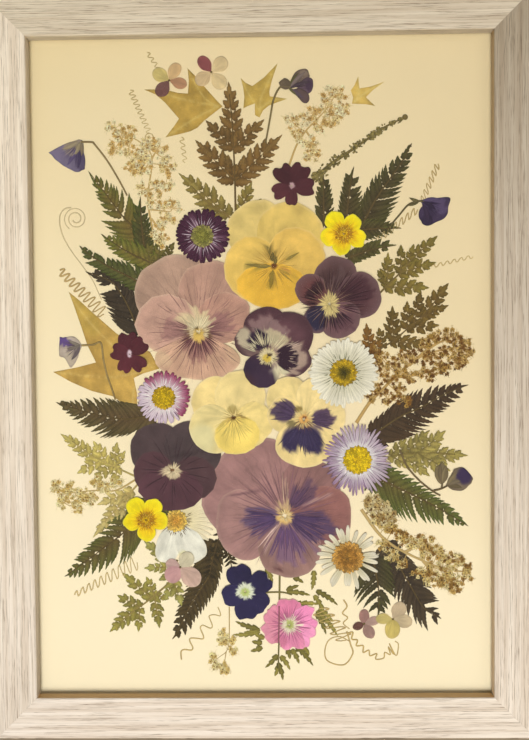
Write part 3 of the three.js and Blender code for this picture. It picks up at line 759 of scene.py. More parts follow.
press_pansy("pansy_mauve", 3, (-27.5, 16.5), "petal_mauve", 1.0, None, [
    ((-10.5, 17.5, 16, 18), (178, 144, 126)), ((5.5, 17, 14, 14), (180, 140, 124)),
    ((11, 6, 12, 11), (182, 138, 122)), ((-13.5, 3.5, 14, 13), (196, 154, 138)),
    ((-0.5, -12, 9, 18.5), (202, 160, 136))], [
    (-44, 5, 5, 3.2, -30, (214, 186, 150), 0.5, 0.1), (-12, 7, 3.5, 5, 20, (206, 172, 140), 0.5, 0.1),
    (-37, 18, 6.5, 4, 10, (132, 88, 92), 0.5, 0.7), (-18.5, 20, 7, 4.5, 10, (128, 84, 92), 0.5, 0.7),
    (-28, 8.5, 5.5, 4.5, 0, (136, 90, 90), 0.6, 0.5), (-27.8, 20, 6.5, 5.5, 0, (222, 202, 160), 0.85, 0.55),
    (-32.2, 14.5, 1.4, 3, -18, (112, 84, 52), 0.8, 0.15),
    (-23.4, 15.6, 1.4, 2.8, 25, (112, 84, 52), 0.8, 0.15),
    (-27.5, 14.6, 2.7, 2.9, 0, (226, 188, 96), 0.95, 0.15),
    (-28.6, 18.2, 1.0, 1.1, 0, (72, 56, 26), 0.95, 0.1)], [
    ((-155, -28), (3.6, 15), 30, (104, 62, 68), 0.24), ((152, 205), (4, 13), 12, (128, 88, 88), 0.18),
    ((-20, 32), (4, 12), 12, (122, 82, 84), 0.18), ((35, 150), (2, 9), 26, (228, 210, 172), 0.32),
    ((150, 215), (2.4, 6), 9, (222, 200, 160), 0.26), ((-35, 30), (2.4, 6), 9, (222, 200, 160), 0.26),
    ((0, 360), (12, 24), 40, (150, 112, 106), 0.14)])
press_pansy("viola_two_tone", 7, (2.7, 5.5), "petal_dark", 0.5, (70, 44, 52), [
    ((-0.7, 12, 9.5, 10), (96, 62, 70)), ((9.5, 9, 10, 10.5), (98, 64, 72)),
    ((-8, 6.5, 6.5, 6.5), (110, 86, 84)), ((10.5, -1.5, 8, 7.5), (112, 82, 86)),
    ((-2.8, -6.2, 7.5, 8), (62, 42, 60))], [
    (3.5, 17.5, 8.5, 5, -25, (150, 122, 120), 0.7, 0.3),
    (5.5, 13, 7.5, 3.6, -25, (204, 190, 152), 0.8, 0.22),
    (-7.5, 13.5, 3.2, 4.6, 20, (204, 190, 160), 0.8, 0.2),
    (11, 4.8, 7.6, 7.8, 0, (188, 164, 144), 0.75, 0.25),
    (7.5, -1.2, 5, 2.6, 20, (218, 208, 172), 0.85, 0.2), (-1, 12.6, 5, 4.2, -10, (48, 32, 52), 1, 0.2),
    (11.3, 4.7, 4.9, 5.3, 0, (50, 30, 44), 1, 0.25), (-5.2, 1.6, 5.4, 3.2, -25, (54, 38, 58), 1, 0.1),
    (1.2, -4.5, 4.6, 4.8, 0, (62, 44, 64), 1, 0.1), (2.6, 5.4, 3.8, 3.3, 0, (224, 208, 166), 0.95, 0.25),
    (2.2, 4.6, 1.8, 1.9, 0, (214, 182, 74), 0.95, 0.1), (3.5, 6.3, 1.1, 0.8, 0, (72, 52, 32), 0.95, 0.1)], [
    ((35, 125), (5, 14), 24, (206, 192, 158), 0.26), ((0, 360), (2.6, 5.4), 26, (222, 204, 156), 0.22),
    ((180, 350), (2.2, 6), 12, (58, 40, 44), 0.14), ((-30, 30), (10, 17), 12, (190, 164, 150), 0.24),
    ((125, 160), (6, 13), 9, (212, 200, 168), 0.26)])
press_pansy("viola_dark", 5, (29.5, 28), "petal_dark", 1.0, (112, 84, 86), [
    ((3, 11, 9.5, 9.5), (78, 54, 54)), ((13.5, 3.5, 9.5, 10), (84, 54, 58)),
    ((-7.5, 6, 7.5, 7), (104, 62, 62)), ((-5, -6.5, 6.5, 6), (66, 54, 74)),
    ((5, -7, 7.5, 9), (112, 78, 84))], [
    (33, 37, 5, 4.5, 0, (112, 88, 90), 0.4, 0.7), (43, 33, 6, 6, 0, (72, 42, 50), 0.7, 0.4),
    (22.5, 33.5, 5.5, 2.6, 35, (54, 32, 38), 0.85, 0.5), (24, 21.5, 4.6, 4.6, 0, (42, 38, 62), 0.9, 0.25),
    (31.5, 23, 2.6, 4.5, 15, (58, 40, 50), 0.7, 0.5), (36, 20, 5, 4, 0, (88, 58, 66), 0.6, 0.7),
    (29.8, 27.5, 3.4, 5.2, 8, (218, 198, 134), 0.97, 0.4),
    (30.6, 27, 0.6, 1.6, 0, (120, 96, 50), 0.7, 0.1)], [
    ((0, 360), (0.8, 6), 20, (214, 190, 128), 0.36), ((130, 200), (5, 14), 14, (48, 26, 34), 0.24),
    ((-20, 60), (6, 20), 18, (60, 34, 42), 0.24), ((60, 120), (6, 18), 12, (70, 46, 48), 0.2),
    ((-120, -30), (5, 14), 16, (54, 34, 44), 0.28), ((0, 360), (4, 13), 26, (150, 118, 98), 0.11)])
print("upper pansies and violas: 4")

# %% [markdown]
# The lower flowers follow in the same way, with the black pansy and the largest one.

# %% Pansies and violas, lower half
press_pansy("pansy_pale", 4, (-12.5, -21), "petal_yellow", 0.15, None, [
    ((-8, 7.5, 10, 11), (233, 206, 140)), ((3, 9.5, 11, 11.5), (232, 207, 144)),
    ((-9.5, -5, 10, 11), (223, 202, 142)), ((8.5, -3, 8.5, 10), (232, 206, 136)),
    ((1.5, -8, 8.5, 10.5), (239, 209, 112))], [
    # The second stain below, olive at (-12.8, -17.6), is a painted shadow beside the raised heart.
    (-27, -31, 6, 7.5, 0, (216, 208, 164), 0.6, 0.1), (-12.8, -17.6, 3, 1.7, 0, (156, 136, 76), 0.6, 0.4),
    (-9.6, -20.4, 2.3, 0.5, -18, (120, 92, 50), 0.7, 0.1),
    (-15.5, -22.3, 2.2, 0.7, 20, (180, 150, 90), 0.6, 0.1),
    (-12.6, -21.4, 1.2, 1.1, 0, (88, 54, 26), 0.95, 0.2)], [((0, 360), (1, 6), 20, (178, 148, 80), 0.14),
    ((200, 330), (4, 13), 18, (220, 196, 110), 0.2)])
press_pansy("viola_yellow", 5, (18, -22), "petal_yellow", 0.3, None, [
    ((-7, 9.5, 9, 9.5), (232, 206, 142)), ((6, 9, 9, 9.5), (233, 207, 146)),
    ((-8, 2, 8, 8), (232, 205, 140)), ((10.5, 1, 8, 8), (233, 207, 148)),
    ((0.5, -10.5, 10.5, 13), (234, 207, 144))], [
    (9.3, -18.3, 5.5, 4.5, 8, (84, 66, 88), 0.97, 0.25),
    (26.4, -21.8, 5, 4.3, -5, (90, 68, 90), 0.97, 0.25), (16, -17.6, 1.7, 1.3, 0, (124, 104, 54), 0.8, 0.2),
    (12.8, -24.3, 2.1, 1.6, 0, (112, 100, 66), 0.85, 0.2),
    (12.8, -31.2, 4.4, 4.9, -10, (54, 44, 76), 1, 0.15), (21.8, -31.8, 4.6, 5.6, 15, (54, 44, 76), 1, 0.15),
    (17.6, -29, 7.5, 4.2, 0, (60, 48, 80), 1, 0.15), (18.2, -22.4, 2.7, 3.1, 0, (229, 174, 100), 0.97, 0.3),
    (18.4, -21.2, 0.9, 0.7, 0, (112, 62, 32), 0.95, 0.1)], [
    ((-136, -48), (5, 17.4), 24, (60, 50, 82), 0.5), ((136, 182), (4.4, 15), 12, (78, 60, 88), 0.5),
    ((-22, 22), (4, 14), 12, (82, 62, 88), 0.5), ((0, 360), (1.6, 5.4), 26, (226, 200, 136), 0.22),
    ((195, 345), (1.6, 7), 16, (110, 76, 58), 0.14)])
press_pansy("pansy_black", 3, (-39.5, -44.5), "petal_dark", 0.35, None, [
    ((-7, 9.5, 11.5, 12), (78, 62, 64)), ((9, 9.5, 12, 13), (74, 60, 62)),
    ((9.5, -3, 10, 9.5), (80, 56, 60)), ((-8.5, -1, 9, 10), (84, 56, 62)),
    ((-1, -8, 9.5, 14.5), (84, 54, 62))], [
    (-39.8, -44.8, 3.7, 2.6, 0, (220, 198, 162), 0.97, 0.25),
    (-43.6, -45.2, 1.6, 0.6, 0, (214, 192, 158), 0.9, 0.1),
    (-40, -43.8, 1.3, 1.1, 0, (112, 78, 48), 0.9, 0.2), (-33, -37, 8, 1.0, 10, (56, 44, 46), 0.6, 0.1)],
    [((0, 360), (1, 4.6), 24, (220, 200, 164), 0.34), ((0, 360), (5, 18), 24, (66, 46, 52), 0.18)])
press_pansy("pansy_large", 2, (9.5, -64.5), "petal_mauve", 1.0, None, [
    ((-15, 12, 19, 24), (160, 119, 117)), ((11.5, 12, 12, 14), (142, 103, 101)),
    ((-18.5, -4, 12, 16), (160, 120, 117)), ((17, 0, 12.5, 13), (144, 97, 93)),
    ((2, -14.5, 13, 14), (148, 112, 106))], [
    (-1.5, -66.5, 8.5, 5.5, 5, (94, 76, 110), 0.85, 0.6), (20, -68, 9.5, 6.2, -8, (86, 66, 98), 0.9, 0.5),
    (17.5, -55.5, 6, 4.4, 35, (98, 72, 94), 0.8, 0.5), (12.5, -77, 8.5, 8, 0, (122, 92, 122), 0.75, 0.7),
    (3.5, -74, 1.1, 7, -30, (206, 172, 164), 0.6, 0.2), (10.4, -54, 0.7, 6.5, 6, (196, 166, 144), 0.5, 0.2),
    (24, -57.5, 7, 0.9, 20, (190, 158, 152), 0.6, 0.1), (-13, -46.5, 6, 0.5, -42, (104, 70, 80), 0.7, 0.0),
    (-8, -54.5, 7.5, 0.5, 8, (112, 78, 86), 0.7, 0.0),
    (9.6, -62.6, 2.6, 4.0, 0, (214, 182, 136), 0.85, 0.6),
    (9.4, -65.2, 3.2, 3, 0, (236, 194, 118), 0.97, 0.25),
    (8.9, -63.4, 0.6, 1.3, -10, (112, 78, 44), 0.95, 0.1), (6.3, -88, 1.3, 1.0, 0, (84, 48, 52), 0.9, 0.1)],
    [
    ((0, 360), (6, 27), 60, (132, 92, 104), 0.2), ((172, 214), (4.5, 19), 20, (82, 62, 98), 0.55),
    ((-46, -2), (4, 20), 22, (78, 58, 92), 0.55), ((36, 70), (5, 17), 13, (92, 66, 92), 0.5),
    ((-114, -60), (5, 21), 22, (104, 76, 112), 0.45), ((0, 360), (1, 3.8), 22, (232, 204, 150), 0.26),
    ((92, 96), (3, 22), 1, (206, 176, 150), 0.3), ((228, 236), (6, 19), 2, (206, 172, 164), 0.4)])
print("pansies and violas: 8")

# %% [markdown]
# The small five-petalled flowers use the same petals. A verbena's are notched, a buttercup's shine
# and stand round a ring of stamens, and a hydrangea floret's are thin enough to see through.

# %% Verbenas, buttercups, primrose and florets
VERBENAS = {
    "verbena_upper": (5, (13.5, 79), "petal_maroon", 0.24, (78, 40, 46), [
        (-3.5, 6, 5, 5), (4, 6.5, 5, 5), (6.5, -0.5, 5.2, 4.8), (0, -5.5, 5, 3.2), (-5.5, -2.2, 4.5, 4)],
        [(13.7, 79.2, 1.0, 1.2, 0, (208, 172, 176), 0.9, 0.2)]),
    "verbena_left": (4, (-57.8, 7), "petal_maroon", 0.24, (84, 38, 46), [
        (-0.5, 6, 4.9, 5.4), (4.8, 3.8, 4.9, 4.6), (-4.8, 1, 4.9, 4.4), (4.2, -4.6, 4.6, 3.9),
        (-2.3, -5.4, 4.4, 3.8)], [(-57.8, 7.2, 0.9, 1.6, 0, (226, 204, 216), 0.95, 0.1)]),
    "verbena_blue": (3, (-8.3, -98), "petal_blue", 0.08, (44, 38, 72), [
        (-2.5, 7.5, 5.3, 6.6), (7, 4, 5.2, 6), (5.8, -4.6, 5.2, 5.8), (0.5, -7.8, 5, 6.2),
        (-5.8, -1.6, 5.2, 6)], [
        (-8.2, -97.8, 3.8, 3.4, 0, (228, 230, 206), 0.97, 0.3),
        (-8.3, -98.2, 2.0, 1.9, 0, (186, 198, 112), 0.9, 0.3)]),
}
for name, (layer, heart, slot, notch, colour, ellipses, spots) in VERBENAS.items():
    petals = [((du, dv, long, wide * 0.84), np.array(colour) * (0.94 + 0.04 * i))
              for i, (du, dv, long, wide) in enumerate(ellipses)]
    flower = press_flower(name, layer, heart, 0.25, None, petals, spots, notch, 0.06, 16)
    flower.finish([PETAL], slot, name, PETAL_THICK)

BUTTERCUPS = {
    "buttercup_upper": ((36, 58.2), [
        (-4, 6, 4.4, 4.2), (3.8, 4.4, 4, 3.8), (5.8, -2, 4, 3.9), (-1, -5.4, 4, 3.9), (-6.3, -1.2, 4, 4)]),
    "buttercup_lower": ((-51.5, -66), [
        (-4.5, 6, 4.3, 4.2), (3.3, 5.8, 4.2, 3.9), (-6.3, -0.8, 4, 3.8), (6, -0.3, 4.2, 3.9),
        (0.2, -5.4, 4.2, 4)]),
}
GOLDEN_ANGLE = math.pi * (3 - math.sqrt(5))


def lay_stamens(flower, centre, radius, count, colours, rise, seed):
    chance = np.random.default_rng(seed)
    for i in range(count):
        far = radius * math.sqrt((i + 0.5) / count)
        angle = i * GOLDEN_ANGLE
        colour = np.array(colours[chance.integers(len(colours))]) * chance.uniform(0.85, 1.1)
        u, v = centre[0] + far * math.cos(angle), centre[1] + far * math.sin(angle)
        size = 0.42 * chance.uniform(0.8, 1.25)
        lay_bump(flower, u, v, size, colour, rise, 0.3, chance.uniform(0.5, 0.9), angle, 1, 7)


for name, (heart, ellipses) in BUTTERCUPS.items():
    petals = [((du, dv, long * 0.94, wide * 1.02), (240, 215 - 3 * i, 14 + 2 * i))
              for i, (du, dv, long, wide) in enumerate(ellipses)]
    glow = [(*heart, 5.2, 5.0, 0, (226, 176, 20), 0.8, 0.3)]
    flower = press_flower(name, 5, heart, 0.3, (240, 224, 30), petals, glow, ruffle=0.05, rows=14)
    lay_streaks(flower, heart, (0, 360), (1.4, 5.6), 50, (184, 122, 26), 0.2, 0.2, 5)
    lay_stamens(flower, heart, 3.7, 48, [(206, 166, 40), (228, 198, 70), (176, 128, 30)], 0.2, 3)
    flower.finish([GLOSSY, FLORET], "petal_buttercup", name, PETAL_THICK)

primrose_petals = [
    ((-7.5, -3, 5.5, 5.5), (222, 144, 166)), ((-7, 4, 5.5, 4.5), (216, 136, 160)),
    ((0, 7, 6, 5.5), (218, 126, 162)), ((7, 2.5, 5.5, 6), (236, 142, 188)),
    ((7, -4.5, 5.5, 5), (242, 154, 196)), ((1, -7, 5.5, 5.5), (230, 140, 176))]
primrose = press_flower("primrose_pink", 2, (11, -113), 0.5, None, primrose_petals, [
    (11, -113.2, 4.3, 4.1, 0, (234, 224, 198), 0.95, 0.5),
    (11.4, -112.8, 1.7, 2.1, 0, (172, 178, 92), 0.85, 0.4), (7, -120, 3, 3, 0, (186, 104, 130), 0.5, 0.2)],
    notch=0.16, ruffle=0.1, rows=16)
lay_streaks(primrose, (11, -113), (0, 360), (2.4, 11), 44, (198, 112, 152), 0.18, 0.24, 9)
lay_strip(primrose, smooth_line([(6.6, -104.5), (6.5, -112), (6.2, -121)]), 0.3, (150, 96, 104), 0.25, 0.05)
primrose.finish([PETAL], "petal_pink", "primrose_pink", PETAL_THICK)


def press_floret(name, layer, centre, petals, replaces=None):
    """A floret of separate round petals, given as (u, v, half-length, half-width, colour) on the card."""
    flower = Specimen(name, layer)
    for i, (u, v, long, wide, colour) in enumerate(petals):
        du, dv = u - centre[0], v - centre[1]
        ellipse = (du, dv, min(long, math.hypot(du, dv) * 0.96), wide)
        lay_petal(flower, centre, ellipse, colour, i * PETAL_STEP, sum(map(ord, name)) + i, veins=8, rows=10)
    lay_bump(flower, *centre, 0.5, (130, 110, 60), 0.12, 0.2)
    return flower.finish([SHEER], "petal_pink", replaces, PETAL_THICK)


press_floret("floret_pink_petals", 3, (-36.8, -87), [
    (-40.5, -85.8, 2.8, 2.6, (222, 184, 178)), (-34, -83.6, 3.6, 3.4, (226, 214, 186)),
    (-40, -90.3, 3.9, 3.8, (222, 170, 172)), (-32, -91.4, 4.6, 4.3, (226, 190, 176))], "floret_pink")
press_floret("hydrangea_left", 1.6, (-39, 125.3), [
    (-43, 127.8, 3.4, 3, (226, 204, 130)), (-36.6, 129.6, 3.6, 2.7, (232, 194, 142)),
    (-34.4, 124, 3.2, 2.5, (196, 146, 112)), (-42, 121.4, 3.4, 3, (126, 84, 82))])
press_floret("hydrangea_right", 1.6, (-20.7, 128.6), [
    (-24.6, 125.8, 3.4, 3.1, (236, 206, 160)), (-17.3, 124.4, 3.6, 3.2, (240, 214, 164)),
    (-16.6, 132, 3.4, 3.2, (240, 214, 166)), (-23.6, 132.4, 3.6, 2.7, (150, 78, 84))])
press_floret("floret_small_pink", 1, (44, -112.6), [
    (44, -109.2, 3.1, 2.3, (176, 130, 124)), (48, -111.4, 3, 2, (196, 160, 150)),
    (46, -116.2, 3.2, 2.5, (176, 138, 130)), (41.3, -113.6, 2.4, 1.8, (112, 68, 62))])
press_floret("floret_pale_green", 1, (56.6, -110.6), [
    (59.3, -106.4, 3.8, 3.2, (214, 190, 158)), (61.6, -111.6, 3.6, 3, (218, 196, 160)),
    (52.2, -110.4, 3.2, 2.4, (216, 196, 122)), (56.4, -115.2, 4.2, 3.4, (216, 194, 112))])
print("small flowers:", len(VERBENAS) + len(BUTTERCUPS) + 6)

# %% [markdown]
# A daisy is a ring of narrow rays round a disc of many tiny florets. The florets of the disc sit
# on a spiral: each is turned by the golden angle from the one before it, as real ones grow.

# %% Daisies


def lay_ray(flower, centre, angle, start, end, half, inner, outer, rise, seed, bend=0.0):
    """One narrow ray with a blunt end; its colour goes from inner to outer along its length."""
    rows = 8
    share = np.linspace(0, 1, rows)
    spread = 0.5 + 0.5 * np.sin(np.minimum(share * 1.25, 1) * math.pi / 2)
    width = half * spread * (1 - share ** 6 * 0.75) ** 0.5
    side = bend * share ** 2 + 0.06 * lattice(seed, share * 3, 0.5)
    mix = np.clip(share * 1.25 - 0.15, 0, 1)
    along, out = np.array([math.cos(angle), math.sin(angle)]), np.array([-math.sin(angle), math.cos(angle)])
    points, tints = [], []
    for column in (-1, -0.5, 0, 0.5, 1):
        reach = start + (end - start) * share - (end - start) * 0.03 * abs(column) * share ** 3
        at = centre + reach[:, None] * along + (side + column * width)[:, None] * out
        lift = np.full(rows, flower.lift + rise + 0.03 * (1 - abs(column)))
        points.append(np.column_stack([at, lift]))
        streak = 1.03 if abs(column) == 0.5 else 0.93
        tints.append(blend(np.array([inner] * rows), outer, mix) * streak)
    grain = np.stack([np.tile(np.arange(5) * 0.9, rows), np.repeat(share, 5), np.full(rows * 5, 0.35)], -1)
    points, tints = (np.stack(each, 1).reshape(-1, 3) for each in (points, tints))
    flower.lay(points, strip_faces(rows, 5), tints, grain)


def lay_disc(flower, centre, radius, colours, rise, count=150, seed=1):
    """A low dome of florets; colours run from the middle of the disc to its rim."""
    chance = np.random.default_rng(seed)
    stops = np.linspace(0, 1, len(colours))
    size = radius * 1.45 / math.sqrt(count)
    for i in range(count):
        share = math.sqrt((i + 0.5) / count)
        angle = i * GOLDEN_ANGLE
        colour = np.array([np.interp(share, stops, channel) for channel in zip(*colours)])
        colour = colour * chance.uniform(0.78, 1.14)
        u, v = centre[0] + radius * share * math.cos(angle), centre[1] + radius * share * math.sin(angle)
        dome = rise + 0.12 * (1 - share ** 2)
        lay_bump(flower, u, v, size, colour, dome, 0.22, chance.uniform(0.7, 1), angle, 1, 7)


def press_daisy(name, layer, centre, disc, reach, rays, half, paint, discs, slot, shorter, gaps=0.0,
                lines=()):
    """A daisy. Rays are up to a share called shorter below the full reach; lines are streaks on them."""
    flower = Specimen(name, layer)
    chance = np.random.default_rng(sum(map(ord, name)))
    for i in range(rays):
        angle = 2 * math.pi * (i + chance.uniform(-0.2, 0.2) * (1 + gaps)) / rays
        inner, outer = paint(angle, chance)
        end = reach * (1 - shorter * chance.uniform(0, 1))
        wide = half * chance.uniform(0.85, 1.1)
        bend = chance.uniform(-0.5, 0.5)
        lay_ray(flower, centre, angle, disc * 0.8, end, wide, inner, outer, 0.03 * (i % 3), i, bend)
    for sweep, run, count, tint, thin in lines:
        lay_streaks(flower, centre, sweep, run, count, tint, thin, 0.13, rays)
    lay_disc(flower, centre, disc, discs, 0.14, seed=rays)
    return flower.finish([PETAL, FLORET], slot, name)


def paint_dark(angle, chance):
    return ((150, 118, 138), (72, 34, 54)) if chance.uniform() < 0.3 else ((84, 46, 66), (66, 32, 52))


def paint_white(angle, chance):
    level = chance.uniform(0.93, 1.02)
    return np.array((216, 208, 184)) * level, np.array((240, 232, 214)) * level


def paint_magenta(angle, chance):
    degrees = math.degrees(angle) % 360
    rich = degrees < 140 or degrees > 305
    return (232, 216, 220), (146, 62, 96) if rich else (206, 184, 202)


def paint_lilac(angle, chance):
    degrees = math.degrees(angle) % 360
    lower_left = 120 < degrees < 290
    outer = (156, 124, 156) if lower_left else (184, 160, 178)
    return (226, 218, 222), np.array(outer) * chance.uniform(0.88, 1.06)


def paint_aged(angle, chance):
    return (206, 194, 160), np.array((238, 228, 208)) * chance.uniform(0.92, 1.03)


press_daisy("daisy_dark", 5, (-25.3, 58), 4.8, 12.2, 42, 1.1, paint_dark, [(146, 140, 64), (126, 122, 56),
    (150, 140, 84)], "petal_dark", 0.07, lines=[((0, 360), (4.4, 9.6), 34, (196, 176, 188), 0.2),
    ((0, 360), (6, 12), 30, (46, 24, 38), 0.16)])
press_daisy("daisy_white", 6, (35.5, -1.8), 5.7, 15.7, 48, 1.25, paint_white, [(52, 48, 20), (104, 88, 22),
    (190, 156, 34), (172, 140, 30)], "petal_white", 0.12,
    lines=[((0, 360), (5.4, 9.6), 30, (92, 98, 66), 0.18), ((0, 360), (7, 14), 40, (198, 190, 166), 0.14)])
press_daisy("daisy_magenta", 5, (-43, -12.2), 5.0, 12.1, 38, 0.95, paint_magenta, [(196, 162, 22),
    (206, 172, 26), (186, 150, 30)], "petal_magenta", 0.08, lines=[
    ((0, 360), (5, 10.4), 30, (240, 230, 230), 0.26), ((120, 330), (6, 11.5), 16, (120, 84, 112), 0.16)])
press_daisy("daisy_lilac", 6, (41.3, -40), 6.0, 16.4, 62, 0.6, paint_lilac, [(206, 168, 26), (216, 184, 26),
    (206, 172, 28)], "petal_white", 0.22, lines=[
    ((0, 360), (7, 15), 60, (150, 122, 150), 0.14), ((0, 360), (6, 10.5), 40, (244, 238, 236), 0.2)])
press_daisy("daisy_brown", 3, (37, -83), 6.7, 14.8, 25, 1.0, paint_aged, [(176, 128, 56), (158, 110, 46),
    (194, 148, 76)], "petal_white", 0.16, 1.0)

cream = Specimen("daisy_cream", 1)
for i, angle in enumerate(np.radians(np.arange(-40, 62, 8.5))):
    lay_ray(cream, (-38.5, -66.5), angle, 4, 17, 0.8, (232, 216, 172), (240, 226, 196), 0.02 * (i % 3), i)
for side, (u, v, long, wide) in enumerate([(-3.2, -11, 8.2, 5.8), (6.5, -11.5, 8.2, 6.4)]):
    lay_petal(cream, (-38.5, -66.5), (u, v, long, wide), (226, 221, 208), 0.05 + 0.03 * side, 70 + side,
              [(-35, -83, 3, 3.2, 0, (232, 220, 150), 0.6, 0.2)], ruffle=0.05, vein=0.3)
lay_disc(cream, (-38.5, -66.5), 4.8, [(176, 124, 50), (206, 160, 70), (222, 188, 96)], 0.14, 110, 4)
lay_streaks(cream, (-38.5, -66.5), (-170, 30), (4.6, 8.4), 26, (112, 86, 46), 0.17, 0.2, 3)
cream.finish([PETAL, FLORET], "petal_white", "daisy_cream")
print("daisies: 6")

# %% [markdown]
# A fern frond is a rib with leaflets, and every leaflet is itself saw-toothed. A frond is given as
# its rib and the tips of its leaflets. Each leaflet then finds its own place on the rib: it joins it
# some way back from its tip, because fern leaflets lean forward, and it is as wide as the gap to its
# neighbours allows. The inside of a frond has dried brown, while the ends have stayed green.

# %% Fronds


def lay_leaflet(plant, base, tip, half, inner, outer, rise, seed, bend=0.06, tooth=1.7, cut=0.27, blunt=2.1):
    """A saw-toothed leaflet from the rib to its tip; tooth is the length of one tooth, cut its depth."""
    base, tip = np.asarray(base, float), np.asarray(tip, float)
    teeth = max(2, round(math.hypot(*(tip - base)) / tooth))
    share = np.concatenate([(k + np.array([0, 0.4, 0.86])) / teeth for k in range(teeth)] + [[1.0]])
    side = np.array([base[1] - tip[1], tip[0] - base[0]])
    line = base + (tip - base) * share[:, None] + side * bend * np.sin(share * math.pi)[:, None]
    saw = np.append(np.tile([1 - cut, 1 - 0.4 * cut, 1.0], teeth), 1.0)
    saw = saw * (1 + 0.15 * lattice(seed, share * teeth, 0.5))
    taper = (1 - share ** blunt) * 0.96 + 0.03
    swell = np.minimum(1, 0.85 + share * 1.2)
    colour = blend(np.array([inner] * len(share), float), outer, np.clip(share * 1.05 - 0.05, 0, 1))
    colour = colour * (1 + 0.1 * lattice(seed + 1, share * 3, 1.5))[:, None]
    # edge=0.76 paints the leaflet's sides darker than its raised middle: painted shade.
    lay_strip(plant, line, half * saw * taper * swell, colour, rise, 0.05, 0.5, edge=0.76)


def beside(line, left, tips):
    """For every tip: the nearest point of the rib, how far off it is, and on which side it stands."""
    away = np.hypot(tips[:, None, 0] - line[None, :, 0], tips[:, None, 1] - line[None, :, 1])
    nearest = away.argmin(1)
    return nearest, away.min(1), np.sign(((tips - line[nearest]) * left[nearest]).sum(1))


def point_at(place, along, line):
    """The point of a line at a distance along it."""
    return np.array([np.interp(place, along, line[:, k]) for k in (0, 1)])


def fill_tips(line, along, left, tips):
    """Adds tips where the given ones stand far apart, and down to the foot of the rib."""
    nearest, _, side = beside(line, left, tips)
    filled = [tips]
    for hand in (1, -1):
        mine = np.flatnonzero(side == hand)
        if not len(mine):
            continue
        mine = mine[np.argsort(along[nearest[mine]])]
        at, row = along[nearest[mine]], tips[mine]
        lowest = row[0] - line[nearest[mine[0]]]
        for place in np.arange(at[0] - TIP_GAP, 0, -TIP_GAP):
            filled.append([point_at(place, along, line) + lowest])
        for first, second, start, end in zip(row[:-1], row[1:], at[:-1], at[1:]):
            extra = int((end - start) / TIP_GAP)
            for k in range(1, extra + 1):
                filled.append([first + (second - first) * k / (extra + 1)])
    return np.vstack(filled)


TIP_GAP, FROND_LEAN, FROND_FULLNESS = 3.3, 1.1, 1.42


def lay_frond(plant, rib, tips, inner, outer, seed):
    line = smooth_line(rib, 8)
    along, left = run_of(line)
    tips = fill_tips(line, along, left, np.asarray(tips, float))
    nearest, reach, side = beside(line, left, tips)
    joint = np.clip(along[nearest] - FROND_LEAN * reach, 0, along[-1] * 0.97)
    inner, outer = np.asarray(inner, float), np.asarray(outer, float)
    for hand in (1, -1):
        mine = np.flatnonzero(side == hand)
        mine = mine[np.argsort(joint[mine] + 0.02 * along[nearest[mine]])]
        gaps = np.gradient(along[nearest[mine]]) if len(mine) > 1 else [3.0]
        for order, (i, gap) in enumerate(zip(mine, gaps)):
            base = point_at(joint[i], along, line)
            half = FROND_FULLNESS * 0.5 * min(max(abs(gap), 1.9), 3.1)
            mix = 0.35 * joint[i] / along[-1]
            start = inner * (1 - mix) + outer * mix
            lay_leaflet(plant, base, tips[i], half, start, outer, 0.02 * (order % 2), seed + 7 * i,
                        0.05 * hand)
    end = line[-1] + (line[-1] - line[-3]) * 0.2
    lay_leaflet(plant, line[-9], end, 0.9, outer, outer, 0.0, seed + 3)
    lay_strip(plant, line, np.linspace(0.45, 0.16, len(line)), (96, 78, 46), 0.05, 0.08, 0.1)


fronds = []


def press_frond(name, layer, slot, rib, tips, inner, outer):
    """A whole frond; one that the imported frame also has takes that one's place."""
    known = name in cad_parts
    plant = Specimen(name if known else name + "_frond", layer)
    lay_frond(plant, rib, tips, inner, outer, 50 * len(fronds))
    fronds.append(plant.finish([LEAF], slot, name if known else None))


print("leaflets fill gaps wider than", TIP_GAP, "mm")

# %% [markdown]
# Here are the fronds of the bunch: the layer, the slot, the rib from its foot to its end, the tips of
# the leaflets, and the colours at the rib and at the tips.

# %% Fronds on the card
press_frond("fern_left_upper", 0, "leaf_green", [(-48, 47), (-55, 61), (-60, 67), (-66, 75), (-74.5, 86.5)], [
    (-73.4, 81.4), (-72.2, 78), (-71.3, 75.3), (-69.8, 72.6), (-69, 69.6), (-69.6, 65.3), (-66, 60.4),
    (-62, 56), (-58, 51), (-71.6, 85.2), (-69.6, 84.3), (-67, 83.2), (-65, 81.7), (-62.7, 80.3),
    (-60.3, 79), (-57.2, 77.3), (-55, 72.6), (-51.5, 66), (-48.5, 61), (-45.5, 56)], (122, 98, 52),
    (104, 108, 46))
press_frond("fern_side_left", 0.3, "leaf_green", [(-51, 54), (-52, 65), (-52.2, 75.2)], [
    (-54.6, 72), (-55.6, 69), (-56.5, 65.5), (-56, 61), (-50, 71.5), (-49, 68.5), (-47.6, 65),
    (-46.6, 61.5), (-46, 57)], (84, 74, 42), (78, 86, 40))
press_frond("fern_bright", 0.5, "leaf_green", [(-45, 45.5), (-55, 50), (-62, 54), (-69.4, 59.4)], [
    (-68.6, 56.6), (-66.9, 53.4), (-65, 51.2), (-60.5, 48.3), (-56, 45.6), (-66.3, 59), (-63, 58.6),
    (-59, 57.6), (-54, 56), (-50, 53.6)], (128, 110, 54), (112, 118, 48))
press_frond("fern_left_green", 2, "leaf_green", [(-51, 37), (-58, 41), (-66, 45), (-74, 50), (-79, 54.4)], [
    (-78.3, 51.8), (-77.8, 49.8), (-76.8, 47), (-73.5, 45.2), (-70, 43), (-66, 40.4), (-62, 38),
    (-58, 35.5), (-77, 54), (-75, 52.7), (-72.5, 51.5), (-70.3, 50.3), (-67, 49.3), (-63, 48.5),
    (-59, 47.7), (-55, 46.4)], (92, 88, 48), (84, 92, 44))
